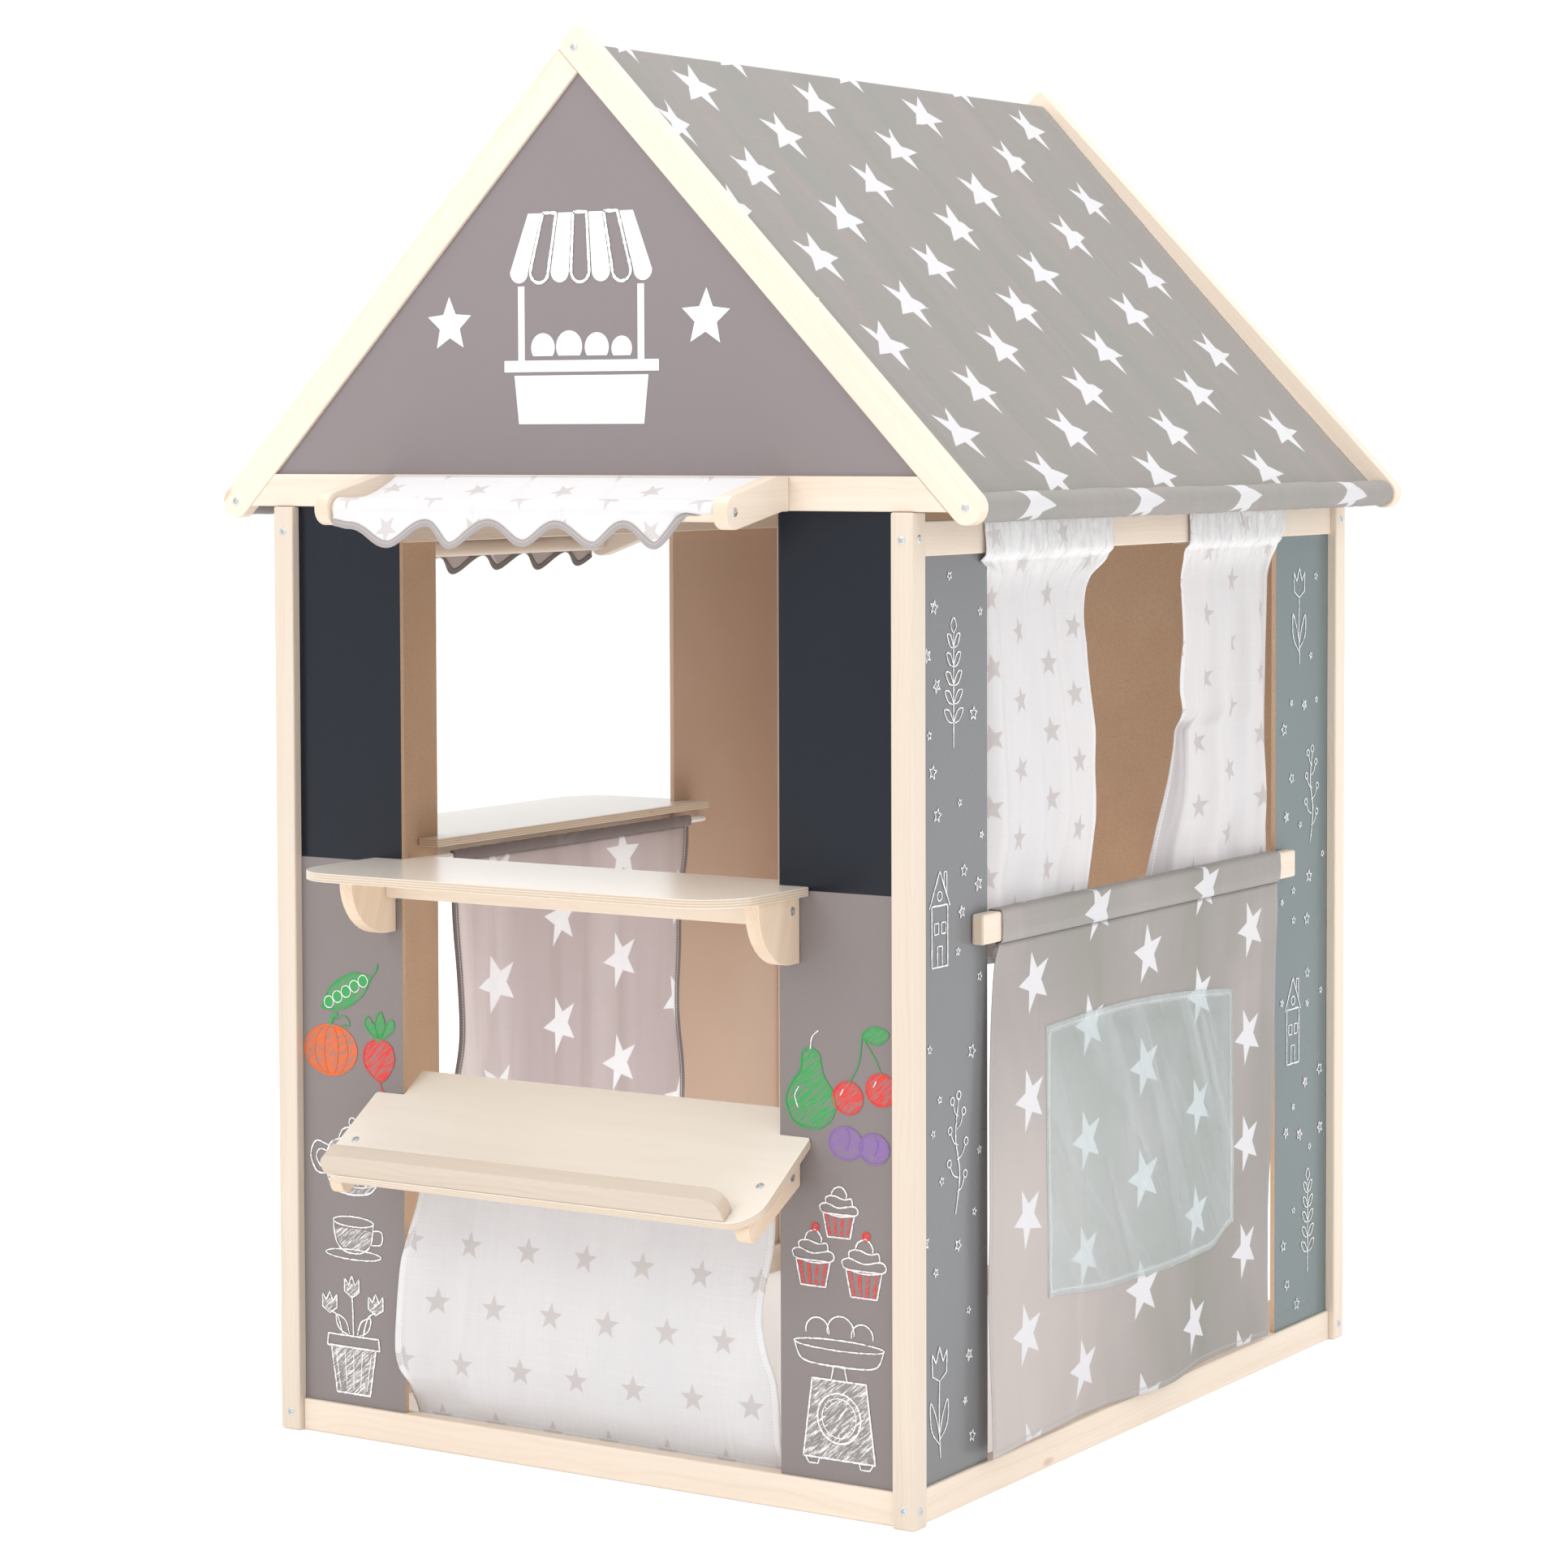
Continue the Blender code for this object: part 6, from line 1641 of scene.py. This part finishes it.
motifs_f = [(sprig, -0.447, 0.905, 0.98), (little_house, -0.478, 0.655, 0.86), (berry_twig, -0.440, 0.390, 1.0), (tulip, -0.480, 0.125, 0.95)]
motifs_r = [(tulip, 0.440, 0.950, 0.95), (berry_twig, 0.478, 0.715, 0.92), (little_house, 0.424, 0.430, 0.90), (sprig, 0.470, 0.160, 0.92)]
for fn, y, z, s in motifs_f + motifs_r:
    fn(y, z, K * s)
rr_ = random.Random(5)
for lo, hi, motifs in ((-0.515, -0.385, motifs_f), (0.386, 0.516, motifs_r)):
    placed = []
    tries = 0
    while len(placed) < 30 and tries < 4000:
        tries += 1
        y, z = rr_.uniform(lo, hi), rr_.uniform(0.06, 1.03)
        r = rr_.choice([0.0048, 0.0055, 0.0075, 0.0085])
        if any(abs(y - my) < 0.027 + r and abs(z - mz) < 0.090 * ms + r for _, my, mz, ms in motifs):
            continue
        if any(math.hypot(y - a, z - b) < 0.036 for a, b in placed):
            continue
        if -0.42 < y < -0.36 and 0.60 < z < 0.68 or 0.37 < y < 0.42 and 0.60 < z < 0.68:
            continue
        placed.append((y, z))
        turn = rr_.uniform(-0.5, 0.5)
        pts = star_pts(y, z, r, turn)
        art.stroke(pts, "white", 0.0011 if r < 0.006 else 0.0013, closed=True, smoothed=False)
        if rr_.random() < 0.4:
            art.fill(star_pts(y, z, r * 0.9, turn), "white_fill", smoothed=False)
art.build("drawing_door_side", chalk_set(BLUEG, "door"), (1, 0, 0))
art = main_art

# ------------------------------------------------------------------ gable sign: plain shapes in white
gable = Art(lambda u, v, l: tuple(W(u, -0.5450 - l, v)))
for cx, cz, r, turn in ((-0.1835, 1.3100, 0.0325, 0.02), (0.1685, 1.3125, 0.0335, -0.03)):
    gable.fill(star_pts(cx, cz, r, turn, 0.46), "sign", smoothed=False)


def block(pts, smoothed=False):
    gable.fill(pts, "sign", smoothed=smoothed)


# a market stall: striped scalloped canopy, posts, counter with goods
sx0, top, n_s = -0.099, 1.434, 7
wd = 0.198 / n_s
for q in range(n_s):
    x0 = sx0 + q * wd
    gap_ = 0.0016
    t0, t1 = 0.74 * (x0 + 0.0), 0.74 * (x0 + wd)
    pts = [(x0 + gap_, top - 0.066), (t0 + gap_ * 0.8, top), (t1 - gap_ * 0.8, top), (x0 + wd - gap_, top - 0.066)]
    if q % 2 == 0:
        lobe = ell(x0 + wd / 2, top - 0.066, wd / 2 - gap_, 0.0125, 0, -180, n=10)
        block(pts[:1] + pts[1:3] + lobe)
    else:
        rim = 0.0034
        lobe = ell(x0 + wd / 2, top - 0.066, wd / 2 - gap_, 0.0125, 0, -180, n=10)
        lobe_in = ell(x0 + wd / 2, top - 0.066, wd / 2 - gap_ - rim, 0.0125 - rim, 0, -180, n=10)
        outer = pts[1:3] + lobe
        gable.stroke([tuple(Vector(p_)) for p_ in outer], "sign", 0.0034, closed=True, smoothed=False)
for x in (-0.0865, 0.0775):
    block([(x, 1.352), (x + 0.009, 1.352), (x + 0.009, 1.262), (x, 1.262)])
block([(-0.106, 1.268), (0.106, 1.268), (0.106, 1.255), (-0.106, 1.255)])
block([(-0.092, 1.251), (0.092, 1.251), (0.086, 1.196), (-0.086, 1.196)])
for cx, r in ((-0.052, 0.0165), (-0.016, 0.0180), (0.022, 0.0165), (0.056, 0.0140)):
    block(ell(cx, 1.2705 + r * 0.72, r, r, -35, 215, n=18) )
g = Graph("sign_white")
p = g.obj()
fine = g.noise(p, 700.0, 2.0, 0.6)
cloud = g.noise(p, 12.0, 2.0)
g.done(g.principled(g.mix(g.rng(cloud, 0.3, 0.7, 0.0, 0.5), (0.86, 0.85, 0.86), (0.82, 0.81, 0.82)),
                    g.rng(fine, 0.2, 0.8, 0.38, 0.5), g.bump(fine, 0.00006, 0.5)))
gable.build("gable_sign", {"sign": g.mat}, (0, -1, 0), 0.00015)


# ------------------------------------------------------------------ screws
def screw_mesh(bm, at, normal, turn, r=0.0048):
    n = Vector(normal).normalized()
    a = n.orthogonal().normalized()
    b = n.cross(a)
    c, s = math.cos(turn), math.sin(turn)
    a, b = a * c + b * s, b * c - a * s
    N = 26
    rows = []
    for i in range(N + 1):
        row = []
        for j in range(N + 1):
            x, y = 2 * i / N - 1, 2 * j / N - 1
            # square to disc
            dx, dy = x * math.sqrt(1 - y * y / 2), y * math.sqrt(1 - x * x / 2)
            rho = math.hypot(dx, dy)
            lift = 0.00075 * math.sqrt(max(0.0, 1 - rho ** 2.6)) + 0.0002
            ax, ay = abs(dx), abs(dy)
            arm = (ax < 0.115 and ay < 0.56) or (ay < 0.115 and ax < 0.56)
            hub = ax + ay < 0.30
            if arm or hub:
                lift -= 0.0016 * (1 - 0.45 * rho / 0.56)
            row.append(bm.verts.new(Vector(at) + (a * dx + b * dy) * r + n * lift))
        rows.append(row)
    for i in range(N):
        for j in range(N):
            bm.faces.new((rows[i][j], rows[i + 1][j], rows[i + 1][j + 1], rows[i][j + 1]))
    rim = [rows[i][0] for i in range(N)] + [rows[N][j] for j in range(N)] + [rows[N - i][N] for i in range(N)] + [rows[0][N - j] for j in range(N)]
    low = [bm.verts.new(Vector(at) + (v.co - Vector(at) - n * (v.co - Vector(at)).dot(n)) * 0.94 - n * 0.0002) for v in rim]
    for k in range(len(rim)):
        bm.faces.new((rim[k], low[k], low[(k + 1) % len(rim)], rim[(k + 1) % len(rim)]))
    bm.faces.new(low[::-1])


HX, HY = 0.438, 0.555
screws = []
for sx_ in (-1, 1):
    for z in (0.021, 1.070):
        screws.append(((sx_ * 0.424, -HY, z), (0, -1, 0)))
        screws.append(((sx_ * 0.424, HY, z), (0, 1, 0)))
    for sy_ in (-1, 1):
        screws.append(((sx_ * HX, sy_ * 0.541, 0.019), (sx_, 0, 0)))
        screws.append(((sx_ * HX, sy_ * 0.541, 1.071), (sx_, 0, 0)))
for sy_ in (-1, 1):
    for x in (-0.4995, 0.4995):
        screws.append(((x, sy_ * 0.550, 1.1055), (0, sy_, 0)))
    screws.append(((-0.004, sy_ * 0.550, 1.6180), (0, sy_, 0)))
for sx_ in (-1, 1):
    screws.append(((sx_ * 0.287, -0.558, 0.664), (sx_, 0, 0)))
    screws.append(((sx_ * 0.287, -0.560, 0.372), (sx_, 0, 0)))
    screws.append(((sx_ * 0.2793, -0.6585, 1.101), (sx_, 0, 0)))
    y = -0.6115
    z = 0.4145 + math.tan(math.radians(33)) * (y + 0.5425)
    screws.append(((sx_ * 0.278, y, z), (0, -s33, c33)))
    screws.append(((-0.446, sx_ * 0.287, 0.660), (0, sx_, 0)))
    screws.append(((-0.5385, sx_ * 0.2793, 1.037), (0, sx_, 0)))
bm = bmesh.new()
rr_ = random.Random(3)
for at_, nrm in screws:
    screw_mesh(bm, W(*at_), nrm, rr_.uniform(0, 1.5))
me = bpy.data.meshes.new("screw_heads")
bm.to_mesh(me)
bm.free()
ob = bpy.data.objects.new("screw_heads", me)
bpy.context.scene.collection.objects.link(ob)
me.shade_smooth()
me.set_sharp_from_angle(angle=math.radians(35))
g = Graph("zinc_screw")
p = g.obj()
nz = g.noise(p, 900.0, 3.0, 0.6)
big = g.noise(p, 160.0, 2.0)
col = g.mix(g.rng(big, 0.3, 0.7), (0.52, 0.57, 0.60), (0.66, 0.69, 0.71))
g.done(g.principled(col, g.rng(nz, 0.2, 0.8, 0.26, 0.46), g.bump(nz, 0.00005, 0.6), Metallic=1.0))
me.materials.append(g.mat)
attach(ob, "stall")

# ------------------------------------------------------------------ floor and light
bm = bmesh.new()
bmesh.ops.create_grid(bm, x_segments=2, y_segments=2, size=14.0)
me = bpy.data.meshes.new("floor")
bm.to_mesh(me)
bm.free()
floor = bpy.data.objects.new("floor", me)
floor.location = (0, 0, -0.0004)
bpy.context.scene.collection.objects.link(floor)
g = Graph("pale_floor")
p = g.obj()
nz = g.noise(p, 3.0, 2.0)
g.done(g.principled(g.mix(g.rng(nz, 0.3, 0.7), (0.97, 0.97, 0.97), (0.98, 0.98, 0.98)), 0.75, Specular_IOR_Level=0.2,
                    Emission_Color=(1.0, 1.0, 1.0, 1.0), Emission_Strength=0.22))
me.materials.append(g.mat)

world = bpy.data.worlds.new("studio")
world.use_nodes = True
bg = world.node_tree.nodes["Background"]
bg.inputs["Color"].default_value = (1.0, 1.0, 1.0, 1.0)
bg.inputs["Strength"].default_value = 1.02
bpy.context.scene.world = world


def area(name, loc, target, size, energy, colour=(1, 1, 1)):
    data = bpy.data.lights.new(name, 'AREA')
    data.shape = 'SQUARE'
    data.size = size
    data.energy = energy
    data.color = colour
    ob = bpy.data.objects.new(name, data)
    ob.location = loc
    ob.rotation_euler = (Vector(target) - Vector(loc)).to_track_quat('-Z', 'Y').to_euler()
    bpy.context.scene.collection.objects.link(ob)
    return ob


area("key", (-1.6, -4.6, 3.6), (0, 0, 0.8), 2.4, 60.0)
area("fill", (4.4, -0.4, 2.6), (0, 0, 0.8), 2.4, 30.0)
area("top", (0.2, -0.6, 4.2), (0, 0, 0.8), 2.0, 40.0)
# light thrown up by the pale floor and down from above, inside the stall
for nm_, z0_, z1_, size_, power_ in (("inside_floor", 0.03, 1.0, 0.78, 3.0), ("inside_top", 1.20, 0.0, 0.40, 0.6)):
    lamp = area(nm_, W(0, 0, z0_), W(0, 0.001, z1_), size_, power_)
    lamp.visible_camera = False
bpy.context.scene.view_settings.view_transform = 'Standard'
bpy.context.scene.view_settings.look = 'None'
